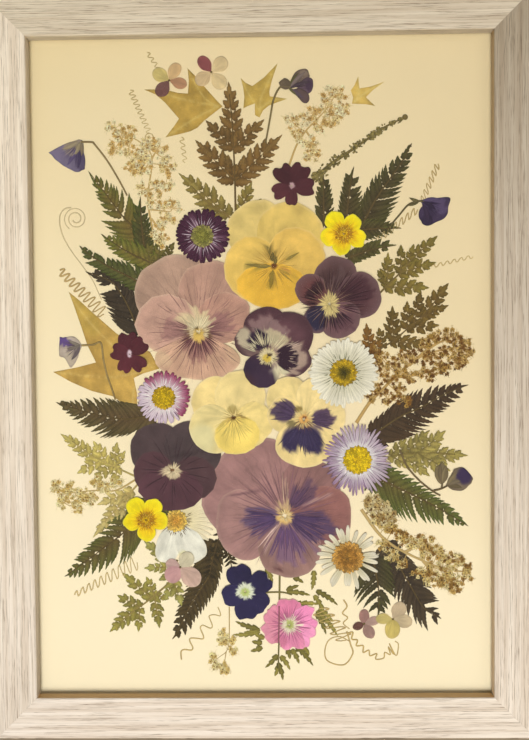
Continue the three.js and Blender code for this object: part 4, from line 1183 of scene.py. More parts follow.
press_frond("fern_left_dark", 1, "leaf_dark", [(-54, 17), (-57, 25), (-61, 33), (-66, 39), (-76.4, 43.2)], [
    (-73.6, 40.8), (-71, 37.4), (-70.6, 33.4), (-68.3, 29.4), (-67.2, 25.6), (-65.6, 22.4), (-63.6, 20),
    (-61.4, 18.2), (-72.5, 44.2), (-68.5, 44.6), (-64, 43.6), (-60, 41.6), (-57, 38.4), (-55, 34),
    (-53, 29), (-52, 24)], (64, 54, 42), (74, 62, 46))
press_frond("fern_left_mid", 1, "leaf_dark", [(-48, -20), (-60, -21.5), (-70, -20), (-80, -17.5),
    (-90.3, -14)], [
    (-88, -17), (-86.5, -18.7), (-85, -20), (-83.6, -21.6), (-81.5, -23.2), (-78.5, -25), (-75.5, -27),
    (-71.6, -29.7), (-68, -30), (-64.5, -29.6), (-60, -29), (-56, -28), (-88.4, -13.2), (-86.5, -13.6),
    (-84.5, -13.2), (-82.5, -12.8), (-80, -12.5), (-77.5, -12.1), (-74.3, -11.8), (-71.5, -12), (-69, -12),
    (-66, -12.6), (-62, -13.6), (-58, -14.5)], (96, 76, 50), (98, 88, 52))
press_frond("fern_lower_left", 0, "leaf_dark", [(-44, -56), (-52, -63), (-62, -72), (-70, -78),
    (-80, -85.5), (-88, -91)], [
    (-86, -91.8), (-84, -91.9), (-82, -91.7), (-79.5, -91.2), (-76, -90.3), (-73, -89.6), (-70, -88.2),
    (-67.5, -86), (-64, -86.8), (-60.5, -85), (-57.5, -81.5), (-55, -77), (-87, -88.8), (-85, -86.3),
    (-84, -83.6), (-82, -81.4), (-80, -79), (-78, -77), (-75, -75), (-73, -72), (-70.5, -67.5), (-66, -65),
    (-61, -62)], (104, 82, 48), (102, 108, 50))
press_frond("fern_bottom", 0, "leaf_dark", [(-22, -76), (-24, -90), (-28, -97), (-33, -105), (-37, -113),
    (-40.7, -119.2)], [
    (-40.6, -115.4), (-40.2, -112), (-39.6, -109), (-38.4, -105), (-36.6, -100.5), (-34.6, -96),
    (-32.6, -91), (-30.8, -86), (-38, -119), (-35, -117.6), (-32.5, -115), (-31, -112), (-28, -108.5),
    (-25.5, -105), (-22.6, -101), (-20, -96), (-18.4, -90)], (74, 60, 38), (88, 74, 42))
press_frond("fern_bottom_right", 0, "leaf_dark", [(55, -78), (60, -88), (65, -97), (70.5, -106),
    (77.6, -110.5)], [
    (73, -94.5), (74.5, -99.5), (77, -102.6), (76.7, -106), (77.2, -108.4), (69.8, -90.4), (66.4, -86),
    (62, -82), (76.3, -113.2), (72, -116), (69.4, -114.7), (67, -113), (63.4, -109.6), (60.6, -105.6),
    (57.5, -102), (55, -97), (53, -91)], (66, 54, 42), (82, 68, 48))
press_frond("fern_bottom_inner", 0.3, "leaf_dark", [(48, -84), (50, -94), (50.5, -101), (50, -109.3)], [
    (46, -107.6), (43.6, -105.8), (41, -104.6), (39.4, -101), (40, -97), (42, -93), (53.2, -108),
    (55.6, -104.6), (57.4, -101), (58, -97), (57.4, -92)], (70, 60, 42), (84, 82, 44))
press_frond("fern_right_green", 0, "leaf_green", [(48, -47), (60, -53), (70, -58), (80, -63.5),
    (89.4, -69.5)], [
    (87.4, -66.2), (86, -64.2), (84, -62.2), (82, -60.2), (79.5, -58.5), (76, -56), (73, -53.4),
    (69, -50.4), (64, -47), (59, -44), (87.5, -69.6), (83.5, -69.4), (79, -69.2), (75.6, -68.6),
    (71.6, -68.4), (67.6, -68), (63, -67.4), (58, -65), (54, -61), (50.5, -57)], (102, 90, 46),
    (98, 110, 52))
press_frond("fern_right_dark", 0, "leaf_dark", [(48, -29.5), (60, -21.5), (70, -17), (80, -11.5),
    (89.6, -7.8)], [
    (86.6, -6.8), (84.5, -7), (82.5, -7.2), (80, -7.4), (77, -7.6), (74, -8), (70, -9), (66, -10),
    (62, -12), (57.5, -15.5), (53, -19), (87.6, -11), (86.4, -13.2), (84.3, -15), (82, -17), (79.4, -19.4),
    (77, -21.5), (74.6, -24), (71.6, -27.2), (67.5, -29.4), (63, -31), (58, -32.5)], (72, 56, 40),
    (82, 62, 42))
press_frond("fern_right_top", 0, "leaf_dark", [(43, 60), (50, 73), (57, 83), (62, 90), (65.6, 96.8)], [
    (64.6, 96.4), (61.8, 93.2), (59.6, 91.8), (57.4, 90.2), (54.4, 88.2), (51.6, 85.4), (48.6, 82.4),
    (46.4, 78.6), (44, 74), (41.6, 69), (66, 92.8), (65.2, 89.6), (64.6, 87), (63.6, 84), (62.2, 80.5),
    (61, 76.5), (59.8, 72), (57.4, 68), (54, 63.6)], (74, 62, 40), (86, 84, 44))
press_frond("fern_top_mid", 0.2, "leaf_dark", [(37, 62), (38.6, 76), (40.6, 87)], [
    (37, 84.6), (35.8, 81), (34.8, 77), (34, 73), (33.6, 69), (42.8, 83), (43.8, 79), (44.4, 75),
    (44.6, 71), (44.4, 67)], (76, 62, 40), (88, 84, 44))
press_frond("fern_top_left", 0.4, "leaf_dark", [(27.6, 62), (27.4, 75), (27.6, 86.4)], [
    (25.6, 82.6), (24.6, 79), (23.8, 75), (23.6, 71), (24, 67), (29.8, 82), (31, 78), (31.6, 74), (32, 70),
    (32, 66)], (76, 62, 40), (92, 88, 46))
press_frond("fern_right_side", 0.2, "leaf_dark", [(42, 60), (51, 60.5), (60.8, 60.5)], [
    (58, 63), (54.6, 64.4), (50.6, 65), (47, 65), (57.6, 58.4), (54, 56.8), (50.4, 55.8), (46.8, 55.4)],
    (78, 64, 40), (92, 92, 46))
press_frond("fern_right_low", 0.4, "leaf_dark", [(38, 48), (48, 51.4), (58.6, 53.2)], [(56, 55.4),
    (52.4, 56), (48.6, 55.4), (45, 54), (55.4, 51.2), (52, 49.6), (48, 48), (44, 46.4)], (84, 70, 42),
    (96, 96, 46))
print("fronds:", len(fronds))

# %% [markdown]
# Cut leaves, such as parsley, tansy and crane's-bill, are made of divisions on a stem, and every
# division is cut again into lobes. A leaf is a list of divisions: where each leaves the stem, where
# it ends, and how wide it is. The lobes stand in pairs and lean forward, shorter towards the end.

# %% Cut leaves and leafy sprigs


LOBE_TEETH = (1.9, 0.34, 2.6)


def lay_division(plant, base, tip, wide, inner, outer, stem_tint, rise, seed):
    """One division of a cut leaf, with toothed lobes in pairs along its own small rib."""
    base, tip = np.asarray(base, float), np.asarray(tip, float)
    long = math.hypot(*(tip - base))
    ahead = (tip - base) / long
    out = np.array([-ahead[1], ahead[0]])
    chance = np.random.default_rng(seed)
    pairs = max(2, round(long / (2.1 + 0.48 * wide)))
    pitch = 0.9 * long / pairs
    for k in range(pairs):
        for side in (1, -1):
            share = (k + 0.12 + 0.1 * side) / pairs * 0.9
            reach = wide * np.interp(share, [0, 0.3, 1], [0.8, 1, 0.2]) * chance.uniform(0.82, 1.1)
            foot = base + ahead * long * share
            lobe = foot + out * side * reach + ahead * reach * chance.uniform(0.75, 1.05)
            half = 0.57 * pitch * np.interp(share, [0, 1], [1, 0.75])
            lay_leaflet(plant, foot - ahead * 0.3, lobe, half, inner, outer, rise + 0.012 * (k % 2),
                        seed + 5 * k + side, 0.04 * side, *LOBE_TEETH)
    end = tip - ahead * 0.4 * long
    lay_leaflet(plant, end, tip, 0.32 * pitch + 0.4, outer, outer, rise + 0.02, seed, 0.0, *LOBE_TEETH)
    rib = np.linspace(base, tip - ahead * 0.2 * long, 6)
    lay_strip(plant, rib, np.linspace(0.3, 0.1, 6), stem_tint, rise + 0.05, 0.05, 0.1)


def press_leaf(name, layer, slot, stem, divisions, inner, outer, stem_tint):
    """A whole cut leaf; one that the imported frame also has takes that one's place."""
    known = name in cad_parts
    plant = Specimen(name if known else name + "_plant", layer)
    lay_stem(plant, stem, 0.9, 0.4, stem_tint)
    for k, (u, v, tip_u, tip_v, wide) in enumerate(divisions):
        start, end = (np.array(tint) * (1 + 0.07 * math.sin(2.2 * k)) for tint in (inner, outer))
        lay_division(plant, (u, v), (tip_u, tip_v), wide, start, end, stem_tint, 0.03 * (k % 4),
                     31 * k + len(plant.name))
    plant.finish([LEAF], slot, name if known else None)


print("a lobe's teeth are", LOBE_TEETH[0], "mm long")

# %% [markdown]
# Each leaf of the bunch is its stem and its divisions, then the colours of its inner and outer parts
# and of its stem. A division is its foot and its end on the card, and how wide it is to one side.

# %% Cut leaves on the card
press_leaf("fern_brown_top", 1, "leaf_olive", [(-10.8, 66), (-11, 83), (-11.4, 96), (-12.2, 110),
    (-13, 119)], [
    (-11.2, 81.7, -28, 99.6, 6.2), (-10.8, 81.7, 9.8, 101.4, 6.2), (-11.4, 95.9, -23.4, 108, 4.8),
    (-11.4, 95.9, 2, 108, 4.8), (-11.4, 100, -13.3, 124.4, 5.2), (-11, 83, -15, 93, 2.2),
    (-11, 83, -6.4, 92.5, 2.2)], (116, 86, 44), (136, 106, 58), (104, 82, 46))
press_leaf("leaf_left_of_stem", 0.4, "leaf_olive", [(-12, 65), (-24.5, 74), (-30, 80)],
    [(-14, 67, -35.5, 85.5, 6)], (132, 112, 56), (156, 138, 74), (130, 108, 60))
press_leaf("leaf_right_of_stem", 0.4, "leaf_olive", [(-9, 66), (-8.4, 70), (-5, 76)],
    [(-9, 68, -3.6, 81.4, 3.6), (-9, 67, 0.6, 74, 2.6)], (130, 110, 54), (150, 132, 68), (130, 108, 60))
press_leaf("leaflets_by_mauve", 0.6, "leaf_olive", [(-51, 43), (-46, 47.6), (-40, 50)],
    [(-48, 45, -49.6, 55.4, 2.4), (-45, 47.6, -43.6, 57.6, 2.6), (-42, 49, -37.6, 55.6, 2.2)],
    (104, 92, 46), (118, 108, 54), (110, 96, 56))
press_leaf("leaf_pale_left", 0, "leaf_olive", [(-52.7, -48.5), (-66.4, -42), (-75, -37.8), (-84, -31)], [
    (-74, -38.5, -89, -27.8, 3.6), (-68.9, -40.8, -74.6, -31, 3.2), (-66, -42, -64, -31.6, 3),
    (-65, -42.6, -60.4, -35.4, 2.2), (-72, -40, -82, -45.4, 3.2), (-66.4, -42, -75, -49, 3.2),
    (-64, -43, -65.5, -50.4, 2.6)], (184, 164, 88), (204, 186, 108), (180, 160, 96))
press_leaf("leaf_pale_lower", 0, "leaf_olive", [(-54, -49), (-62, -58), (-70, -67)],
    [(-58, -53, -75.5, -74, 3.8), (-59, -54, -73.4, -59.4, 3.2), (-60, -56, -63, -66, 2.4)],
    (190, 168, 100), (208, 188, 122), (184, 160, 100))
press_leaf("leaf_olive_right", 1, "leaf_olive", [(56, -38.5), (65, -37.5), (75, -37.3), (84, -38)], [
    (70, -37.4, 89.6, -38.6, 4.4), (68, -37.4, 80, -27.6, 4.2), (62, -38, 73, -27.4, 4.0),
    (68, -37.6, 82, -45.4, 4.2), (61, -38, 73, -47.6, 4.0), (56, -38.5, 63, -31, 2.6),
    (56, -38.5, 66, -44, 2.8)], (146, 130, 74), (172, 156, 84), (128, 112, 62))
press_leaf("sprig_right_upper", 1, "leaf_olive", [(50, 31), (56, 37), (60.5, 41.3), (66.5, 48), (75, 55.4)],
    [
    (65.4, 47, 76.6, 57, 3.4), (60.6, 41.3, 76, 45.6, 4.2), (60.5, 41.3, 60.8, 53.4, 3),
    (63.6, 45, 66.4, 53.6, 2.2), (54.8, 36, 55.2, 50.2, 3.6), (54.4, 35.4, 50.6, 42.6, 2.2),
    (55, 35.2, 73, 34.6, 4.2)], (122, 102, 48), (136, 120, 56), (122, 102, 58))
press_leaf("sprig_right_lower", 0, "leaf_olive", [(46, 3), (52, 8.5), (57.3, 11.7), (63.6, 17),
    (71.5, 23.8), (78, 32)], [
    (70.6, 22.6, 81.4, 36.6, 4.4), (70, 22, 81.4, 27, 3), (66.5, 19.5, 69.4, 33.8, 3.4),
    (63.4, 17, 63.4, 29, 3.4), (64.4, 17.4, 77.4, 18.4, 3.6), (57.3, 11.7, 57, 27, 4.4),
    (57, 11.4, 71.4, 10, 4), (53, 9, 51, 17.6, 2.6)], (110, 86, 42), (120, 98, 46), (110, 88, 50))
press_leaf("leaflet_brown", 0.6, "leaf_dark", [(44, 3), (47, 7)], [(47.3, 6, 45.6, 19.6, 3.2),
    (47.6, 6, 52.4, 12.6, 2.4)], (124, 84, 36), (136, 98, 44), (110, 84, 48))
press_leaf("leaflets_lower_left", 0.3, "leaf_olive", [(-38, -84), (-40.7, -88), (-40, -94)], [
    (-40.7, -86, -53, -75, 4), (-40.8, -87, -53, -87.6, 2.8), (-40.6, -90, -46.4, -93, 1.8),
    (-40, -93, -36.4, -104.4, 3.2), (-40, -92, -43.6, -102, 2.6)], (150, 138, 70), (168, 162, 90),
    (150, 130, 74))
press_leaf("parsley_left", 0, "leaf_olive", [(-39.4, -92.2), (-51.8, -102.5), (-58.7, -107.2), (-64, -112)],
    [
    (-50, -100.7, -62.6, -89.6, 3.6), (-48.4, -99.5, -52, -91.4, 2.4), (-55.2, -105, -65, -99.6, 3.4),
    (-57.6, -106.5, -68.6, -116, 3.8), (-55, -105.6, -55.8, -116, 3), (-48.4, -100.6, -46.4, -114.4, 3.2),
    (-47.5, -99.6, -42, -101.4, 1.8)], (146, 132, 66), (162, 152, 74), (150, 130, 74))
print("cut leaves: 12")

# %% [markdown]
# Maple and ivy leaves are broad plates. Their outline is drawn point by point and filled with
# triangles. Extra points inside let the colour change gently and darken at the rim and ribs.

# %% Broad leaves


def distance_to(points, line):
    a, b = line[:-1], line[1:]
    span = b - a
    share = ((points[:, None] - a) * span).sum(-1) / np.maximum((span ** 2).sum(-1), 1e-9)
    foot = a + np.clip(share, 0, 1)[..., None] * span
    return np.hypot(*(points[:, None] - foot).transpose(2, 0, 1)).min(1)


def fill_outline(edge, lines, step, seed):
    """Triangles inside an edge, with extra points spread over it and along the lines."""
    low, high = edge.min(0), edge.max(0)
    u, v = np.meshgrid(np.arange(low[0], high[0], step), np.arange(low[1], high[1], step))
    scatter = np.random.default_rng(seed).uniform(-0.3, 0.3, (u.size, 2)) * step
    extra = [np.vstack([line, line + [0.3, 0.3], line - [0.3, 0.3]]) for line in lines]
    given = np.vstack([edge, np.column_stack([u.ravel(), v.ravel()]) + scatter] + extra)
    loop = list(range(len(edge)))
    verts, _, faces, *_ = delaunay_2d_cdt([Vector(p) for p in given], [], [loop], 1, 1e-5)
    at = np.array([tuple(p) for p in verts])
    turned = []
    for face in map(list, faces):
        a, b, c = at[face]
        turned.append(face if np.cross(b - a, c - a) > 0 else face[::-1])
    return at, turned


def lay_plate(plant, outline, tint, ribs, spots, rise=0.0, rib_tint=(0, 0, 0), seed=1, step=1.1,
              soft=False):
    """A flat blade or petal inside an outline; a soft one has a rounded, slightly ruffled edge."""
    rim = np.asarray(outline, float)
    if soft:
        rim = smooth_line(np.vstack([rim, rim[:1]]), 5)[:-1]
        rim = rim + (rim - rim.mean(0)) * 0.07 * lattice(seed, np.arange(len(rim)) * 0.45, 0.5)[:, None]
    closed = np.vstack([rim, rim[:1]])
    sides = []
    for a, b in zip(closed[:-1], closed[1:]):
        pieces = max(2, int(math.hypot(*(b - a)) / 0.8))
        sides.append(a + (b - a) * np.linspace(0, 1, pieces, endpoint=False)[:, None])
    edge = np.vstack(sides)
    lines = [smooth_line(rib, 8) for rib in ribs]
    at, faces = fill_outline(edge, lines, step, seed)
    u, v = at.T
    uneven = 0.08 * lattice(seed, u / 4, v / 4) + 0.05 * lattice(seed + 1, u / 1.2, v / 1.2)
    colour = np.asarray(tint, float) * (1 + uneven)[:, None]
    for spot in spots:
        colour = stain(colour, u, v, spot, edge.min(0))
    for line in lines:
        colour = blend(colour, rib_tint, np.exp(-(distance_to(at, line) / 0.35) ** 2) * 0.7)
    near = distance_to(at, closed)
    colour = colour * (1 - 0.05 * np.exp(-(near / 0.5) ** 2))[:, None]
    lift = plant.lift + rise + 0.05 * np.minimum(near / 2, 1) + 0.02 * lattice(seed + 4, u / 3, v / 3)
    plant.lay(np.column_stack([at, lift]), faces, colour)


def press_broad(name, outline, ribs, tint, rib_tint, spots=(), replaces=None):
    plant = Specimen(name, 0)
    lay_plate(plant, outline, tint, ribs, spots, rib_tint=rib_tint, seed=len(name))
    return plant.finish([LEAF], "leaf_ochre", replaces)


press_broad("maple_ochre", [
    (-31, 130.5), (-28, 127.5), (-22, 120.5), (-18, 116), (-16, 114), (-24, 108), (-27, 105), (-30, 103.5),
    (-34, 102.5), (-41, 101), (-37, 106), (-35, 109), (-38, 112.5), (-41, 116), (-45, 119.5), (-50, 121.7),
    (-46, 121.7), (-40, 121.3), (-35, 120), (-31, 119.7), (-30.5, 125)], [
    [(-18, 114), (-24, 118), (-30.6, 129)], [(-18, 114), (-32, 117), (-47, 121.4)], [(-18, 114), (-28, 109),
    (-40, 101.6)]], (182, 148, 72), (204, 178, 106), replaces="maple_ochre")
press_broad("maple_olive", [
    (-8, 126), (-6, 124), (-3, 122.5), (2, 126), (8, 132), (5.5, 125), (4.3, 120), (4.5, 118), (8, 117.5),
    (12, 116.8), (8, 115.5), (4, 114), (1.5, 112), (0, 109), (-2, 110), (-2, 115), (-5, 114), (-7, 113),
    (-6.5, 118), (-7, 122)], [
    [(0, 110), (1, 118), (7.6, 131)], [(0, 112), (-4, 118), (-7.6, 125)], [(0.4, 113), (6, 116.4),
    (11, 116.7)]], (190, 158, 78), (206, 180, 108), replaces="maple_olive")
press_broad("maple_small", [
    (42.8, 126), (43, 123), (43.3, 120.8), (48, 121.5), (54, 123.5), (49, 120), (46, 117), (48, 115),
    (50, 113.2), (46, 114), (40, 114.3), (40.5, 117), (39.5, 120), (41, 122)], [[(41, 115), (43, 119),
    (43, 125)], [(41, 115), (46, 119), (53, 123)]], (208, 174, 92), (216, 190, 120))
press_broad("ivy_leaf", [
    (-84.3, 34.5), (-80, 31), (-75, 26.3), (-68.5, 20.5), (-64, 16.5), (-57, 11), (-49, 8), (-45, 0.5),
    (-52, -1.5), (-56.3, -3.5), (-55, -10), (-55, -15.5), (-60, -15.5), (-65.5, -11.5), (-75, -9),
    (-84, -5), (-91.8, -0.5), (-82, 1.2), (-72.8, 3.5), (-76.5, 11), (-79, 19), (-82, 28)], [
    [(-48, 1), (-62, 8), (-76, 22), (-83.6, 33)], [(-50, 0), (-66, -3), (-90, -0.8)], [(-52, -2), (-56, -8),
    (-57, -15)]], (194, 156, 80), (212, 182, 112), [(-78, 24, 6, 10, 30, (176, 150, 70), 0.5, 0.2),
    (-70, 2, 9, 4, 20, (182, 142, 72), 0.5, 0.3)], replaces="ivy_leaf")


print("broad leaves: 4")

# %% [markdown]
# Buds and blooms that were pressed from the side show folds instead of a face. They are soft-edged
# plates for the petals, with blades on top for folds and sepals, on a bent stem.

# %% Blooms seen from the side


def press_bloom(name, layer, slot, plates, stems, blades, stem_tint, replaces=None, veins=None):
    """A bud or side-on flower: plates for its petals, blades for folds and sepals, its stem and its veins."""
    plant = Specimen(name, layer)
    for line in stems:
        lay_stem(plant, line, 0.9, 0.7, stem_tint, 0.02, 1)
    for i, (outline, tint, spots) in enumerate(plates):
        lay_plate(plant, outline, tint, (), spots, 0.06 * i, seed=i + len(name), step=0.8, soft=True)
    for base, tip, half, tint in blades:
        lay_blade(plant, base, tip, half, tint, 0.14, 0.06)
    if veins:
        heart, sweep, reach, tint = veins
        lay_streaks(plant, heart, sweep, reach, 16, tint, 0.17, 0.13, len(name))
    return plant.finish([PETAL, LEAF], slot, replaces)


press_bloom("violet_bud", 1, "petal_blue", [
    ([
    (-92, 95), (-85, 98.5), (-80, 100), (-77, 100), (-76.5, 95), (-76, 90), (-77, 87.5), (-80, 86.5),
    (-85, 88.5), (-88, 91)], (118, 106, 132), [
    (-80, 97, 5, 3.4, 0, (154, 138, 118), 0.85, 0.2), (-78, 91, 2.4, 4.6, 10, (78, 66, 92), 0.8, 0.3)])],
    [[(-78, 99.5), (-73, 99.3), (-72, 98.5), (-67, 92), (-63, 85.5), (-60, 80), (-58, 76)]], [
    ((-78, 99.6), (-82, 93), 1.1, (150, 136, 108)), ((-78, 99.6), (-77.6, 93.4), 0.9, (128, 112, 92)),
    ((-79, 99.8), (-86, 96.4), 1.0, (160, 144, 118)), ((-80, 97), (-84, 89.4), 0.8, (94, 80, 118)),
    ((-78.4, 96), (-79.4, 88), 0.7, (70, 58, 88))], (146, 124, 84), "violet_bud",
    ((-78, 99.6), (196, 268), (3, 11.5), (80, 66, 104)))
press_bloom("grey_flower", 2, "petal_mauve", [
    ([(13, 123), (14.6, 126.6), (17.4, 129.2), (20.6, 129), (21.6, 126), (19, 123), (16, 121.4)],
    (112, 94, 84), [(19.4, 127.6, 1.8, 1.2, 0, (138, 118, 104), 0.7, 0.3)]), ([(17, 123), (20, 125.4),
    (22.8, 125), (23.4, 122.4), (22.4, 119.6), (19.6, 118.4), (16.6, 120)], (92, 72, 84),
    [(21.6, 122, 1.4, 2.2, 0, (66, 48, 66), 0.7, 0.4)]), ([
    (15, 120.6), (16.6, 117.6), (18.6, 115), (20.6, 114.6), (21.6, 117), (20.4, 119.6), (17.6, 121)],
    (98, 78, 76), []), ([(8.4, 123.6), (9.4, 121.4), (11.6, 120.6), (13.6, 121.8), (13, 124.6),
    (10.6, 125.4)], (104, 88, 72), [])], [[(13.5, 121.5), (10, 122), (8, 120.5), (6, 116), (5, 111),
    (3.5, 103), (2.5, 98)]], [
    ((13, 121), (20, 128), 0.9, (124, 108, 104)), ((13, 121), (22, 123.6), 0.8, (76, 62, 70)),
    ((13.4, 120.6), (19.4, 116.4), 1.0, (94, 78, 88)), ((13, 122), (9, 123.4), 0.5, (110, 96, 60)),
    ((13, 122), (17, 127.6), 0.6, (92, 86, 54)), ((12.4, 121.4), (16, 118), 0.7, (104, 98, 56))],
    (128, 112, 72), "grey_flower", ((13, 121), (-48, 46), (2.5, 9), (72, 58, 60)))
press_bloom("violet_flower", 1, "petal_blue", [
    ([
    (69, 72.2), (75, 73.2), (82, 73.5), (81.5, 69.5), (80, 65), (76, 62.8), (73, 61.5), (69.5, 63),
    (68.5, 67), (70, 70.5)], (66, 52, 78), [(78, 70, 3.4, 3.4, 0, (92, 76, 110), 0.7, 0.6),
    (72, 64, 2.6, 2.4, 0, (48, 36, 58), 0.8, 0.3)])], [[(71, 72), (68, 72), (64, 70.5), (60, 66),
    (56.5, 62)]], [
    ((69, 72), (64.4, 73.6), 0.7, (104, 94, 60)), ((68.6, 71.6), (63.2, 70.2), 0.5, (104, 94, 60)),
    ((70, 72), (76, 68), 0.9, (50, 38, 62)), ((70, 72), (78, 72.6), 0.9, (84, 70, 104)),
    ((70, 71), (73, 62.6), 1.0, (58, 44, 68))], (104, 92, 60), "violet_flower",
    ((70, 72), (-84, -6), (3, 10), (44, 32, 58)))
press_bloom("bud_pair", 2, "petal_blue", [
    ([(78, -41.5), (75.5, -44), (75.3, -48), (78, -51), (80.8, -48), (80.6, -44)], (124, 108, 80), []), ([
    (80, -51.5), (83, -45.5), (85, -44), (88, -44), (91.5, -48.5), (90.5, -51), (87.5, -53.5), (83, -53.5)],
    (118, 102, 84), [(88, -47.4, 3.4, 3.8, 0, (58, 44, 78), 0.95, 0.2)])], [
    [(60, -36), (63, -43), (68, -49), (74, -54), (77.5, -56)], [(74, -54), (78, -53), (81, -51.5)],
    [(78, -53), (78.5, -50)]], [
    ((78.2, -50.6), (77.6, -42), 1.1, (112, 96, 72)), ((78.4, -50.6), (79.8, -43), 0.7, (134, 118, 86)),
    ((80.6, -51.6), (84.6, -46), 1.0, (128, 112, 84)), ((80.6, -51.8), (87, -52.6), 1.0, (104, 90, 66)),
    ((81, -51.6), (86.4, -49.6), 1.0, (118, 104, 84))], (112, 94, 64), "bud_pair")
press_bloom("bud_left", 1, "petal_blue", [
    ([
    (-88.5, 14.8), (-85.5, 14.6), (-82, 14.8), (-79.5, 12), (-79, 10.5), (-80, 8), (-81, 5.5), (-83.8, 1.5),
    (-86.5, 5.5), (-88.8, 6.3), (-88.8, 9)], (176, 160, 148), [
    (-86.4, 12.8, 3.4, 2, -20, (96, 72, 134), 0.95, 0.4), (-84, 6, 2, 3.4, 0, (188, 172, 150), 0.6, 0.3)])],
    [[(-79, 11), (-74, 11.3), (-70.5, 12), (-69.5, 5), (-68, -2), (-66, -8), (-64.5, -13)]], [
    ((-79.4, 11), (-85.6, 9.6), 0.8, (120, 108, 100)), ((-79.6, 11), (-83.6, 4.6), 0.8, (104, 92, 96)),
    ((-79.4, 11.2), (-85, 13.6), 0.7, (134, 122, 110))], (158, 134, 86),
    veins=((-79.4, 11), (165, 235), (2, 8.5), (96, 80, 92)))
print("side-on blooms: 5")

# %% [markdown]
# The sprays are hundreds of florets, each with a few petals, a brown heart and fine stamens. They
# are made in clusters along a branched stem and joined into one mesh for each spray. They carry the
# airy look of the whole bunch, so the stamens are thin and stand well clear of the petals.

# %% Sprays of tiny florets


def lay_tiny_floret(plant, u, v, size, tint, heart_tint, chance, petals):
    """A floret of pointed petals round a brown heart, with two fine stamens."""
    tint = np.asarray(tint)
    turned = chance.uniform(0, 2 * math.pi)
    rise = chance.uniform(0, 0.35)
    for _ in range(2):
        angle = turned + chance.uniform(0, 2 * math.pi)
        far = size * chance.uniform(1.2, 1.9)
        tip = np.array([u + far * math.cos(angle), v + far * math.sin(angle)])
        lay_blade(plant, (u, v), tip, 0.09, tint * 0.9, rise, rows=3, crown=0.03)
        lay_blade(plant, tip - [0.16, 0], tip + [0.16, 0], 0.15, tint * 0.85, rise + 0.03, rows=4, crown=0.05)
    for i in range(petals):
        angle = turned + 2 * math.pi * i / petals + chance.uniform(-0.25, 0.25)
        far = size * chance.uniform(0.75, 1.1)
        colour = tint * chance.uniform(0.82, 1.06)
        out = np.array([math.cos(angle), math.sin(angle)])
        lay_blade(plant, (u, v) + 0.1 * out, (u, v) + far * out, far * 0.42, colour, rise + 0.03 * (i % 2),
                  rows=4, fullest=0.6, crown=0.04)
    lay_bump(plant, u, v, size * chance.uniform(0.16, 0.34), heart_tint, rise + 0.08, 0.16, sides=6)


def press_spray(name, layer, slot, stems, clusters, spread, each, size, tints, heart_tint, stem_tint, seed,
                wide=0.9, petals=5):
    """Florets in clusters: each cluster stands on a stalk from the nearest point of the stems."""
    plant = Specimen(name, layer)
    chance = np.random.default_rng(seed)
    lines = [smooth_line(stem) for stem in stems]
    for line in lines:
        lay_strip(plant, line, np.linspace(wide, wide * 0.4, len(line)) / 2, stem_tint, 0.02, 0.12, 0.2)
    nodes = np.vstack(lines)
    for u, v in clusters:
        root = nodes[np.hypot(nodes[:, 0] - u, nodes[:, 1] - v).argmin()]
        middle = (root + [u, v]) / 2 + chance.uniform(-0.6, 0.6, 2)
        lay_stem(plant, [root, middle, (u, v)], 0.4, 0.28, stem_tint, 0.03)
        for _ in range(each):
            far, angle = spread * math.sqrt(chance.uniform(0.02, 1)), chance.uniform(0, 2 * math.pi)
            at = np.array([u + far * math.cos(angle), v + far * math.sin(angle)])
            bend = chance.uniform(-0.15, 0.15)
            lay_blade(plant, (u, v), at, 0.13, np.array(stem_tint) * 1.05, 0.02, bend, 4, crown=0.05)
            tint = tints[chance.integers(len(tints))]
            lay_tiny_floret(plant, *at, size * chance.uniform(0.8, 1.4), tint, heart_tint, chance, petals)
    return plant.finish([SPRAY], slot, thick=0)


print("helpers for the sprays are ready")

# %% [markdown]
# Each spray is listed as its stems, the middles of its clusters, how far a cluster spreads, how many
# florets it has and their size. The random seed at the end keeps it the same every time.

# %% Sprays on the card
press_spray("spray_top_left", 0.2, "petal_yellow", [
    [(-47, 60), (-49, 75), (-47, 92), (-52, 99), (-60, 103)], [(-47, 92), (-44, 97)], [(-49, 78),
    (-44, 80)], [(-48.4, 70), (-41, 69)], [(-48, 85), (-54, 88)], [(-47.6, 66), (-43, 60)]], [
    (-63, 105), (-60, 101), (-57, 103), (-63, 96.5), (-57, 97), (-51, 94.5), (-48, 98), (-43.4, 97),
    (-42, 92), (-40, 88.5), (-56, 87.6), (-53, 89.4), (-50, 88), (-45, 80), (-41, 81), (-50, 79), (-42, 70),
    (-38.4, 70), (-41, 65.6), (-45, 61), (-43, 57), (-47, 74), (-52.6, 92)], 3.5, 13, 1.05,
    [(252, 236, 190), (244, 218, 154), (222, 180, 104)], (146, 106, 58), (206, 172, 108), 21)
press_spray("spray_top_right", 0.2, "petal_yellow", [
    [(12.5, 88), (16, 97), (20, 103), (25, 108), (30, 113.5), (33, 119)], [(20, 103), (23, 98), (23, 93)],
    [(28, 111), (34, 109)]], [
    (30, 116.6), (31.4, 120), (35, 119), (28, 112.4), (23, 110), (20, 108), (16, 103.5), (14, 107),
    (22, 98), (23.6, 95), (22.4, 92), (33, 112.4), (30.4, 107.6), (36, 112), (33, 108), (26, 105),
    (18.6, 99)], 3.1, 13, 1.0, [(252, 234, 188), (244, 218, 156), (222, 180, 108)], (146, 106, 58),
    (202, 168, 104), 22)
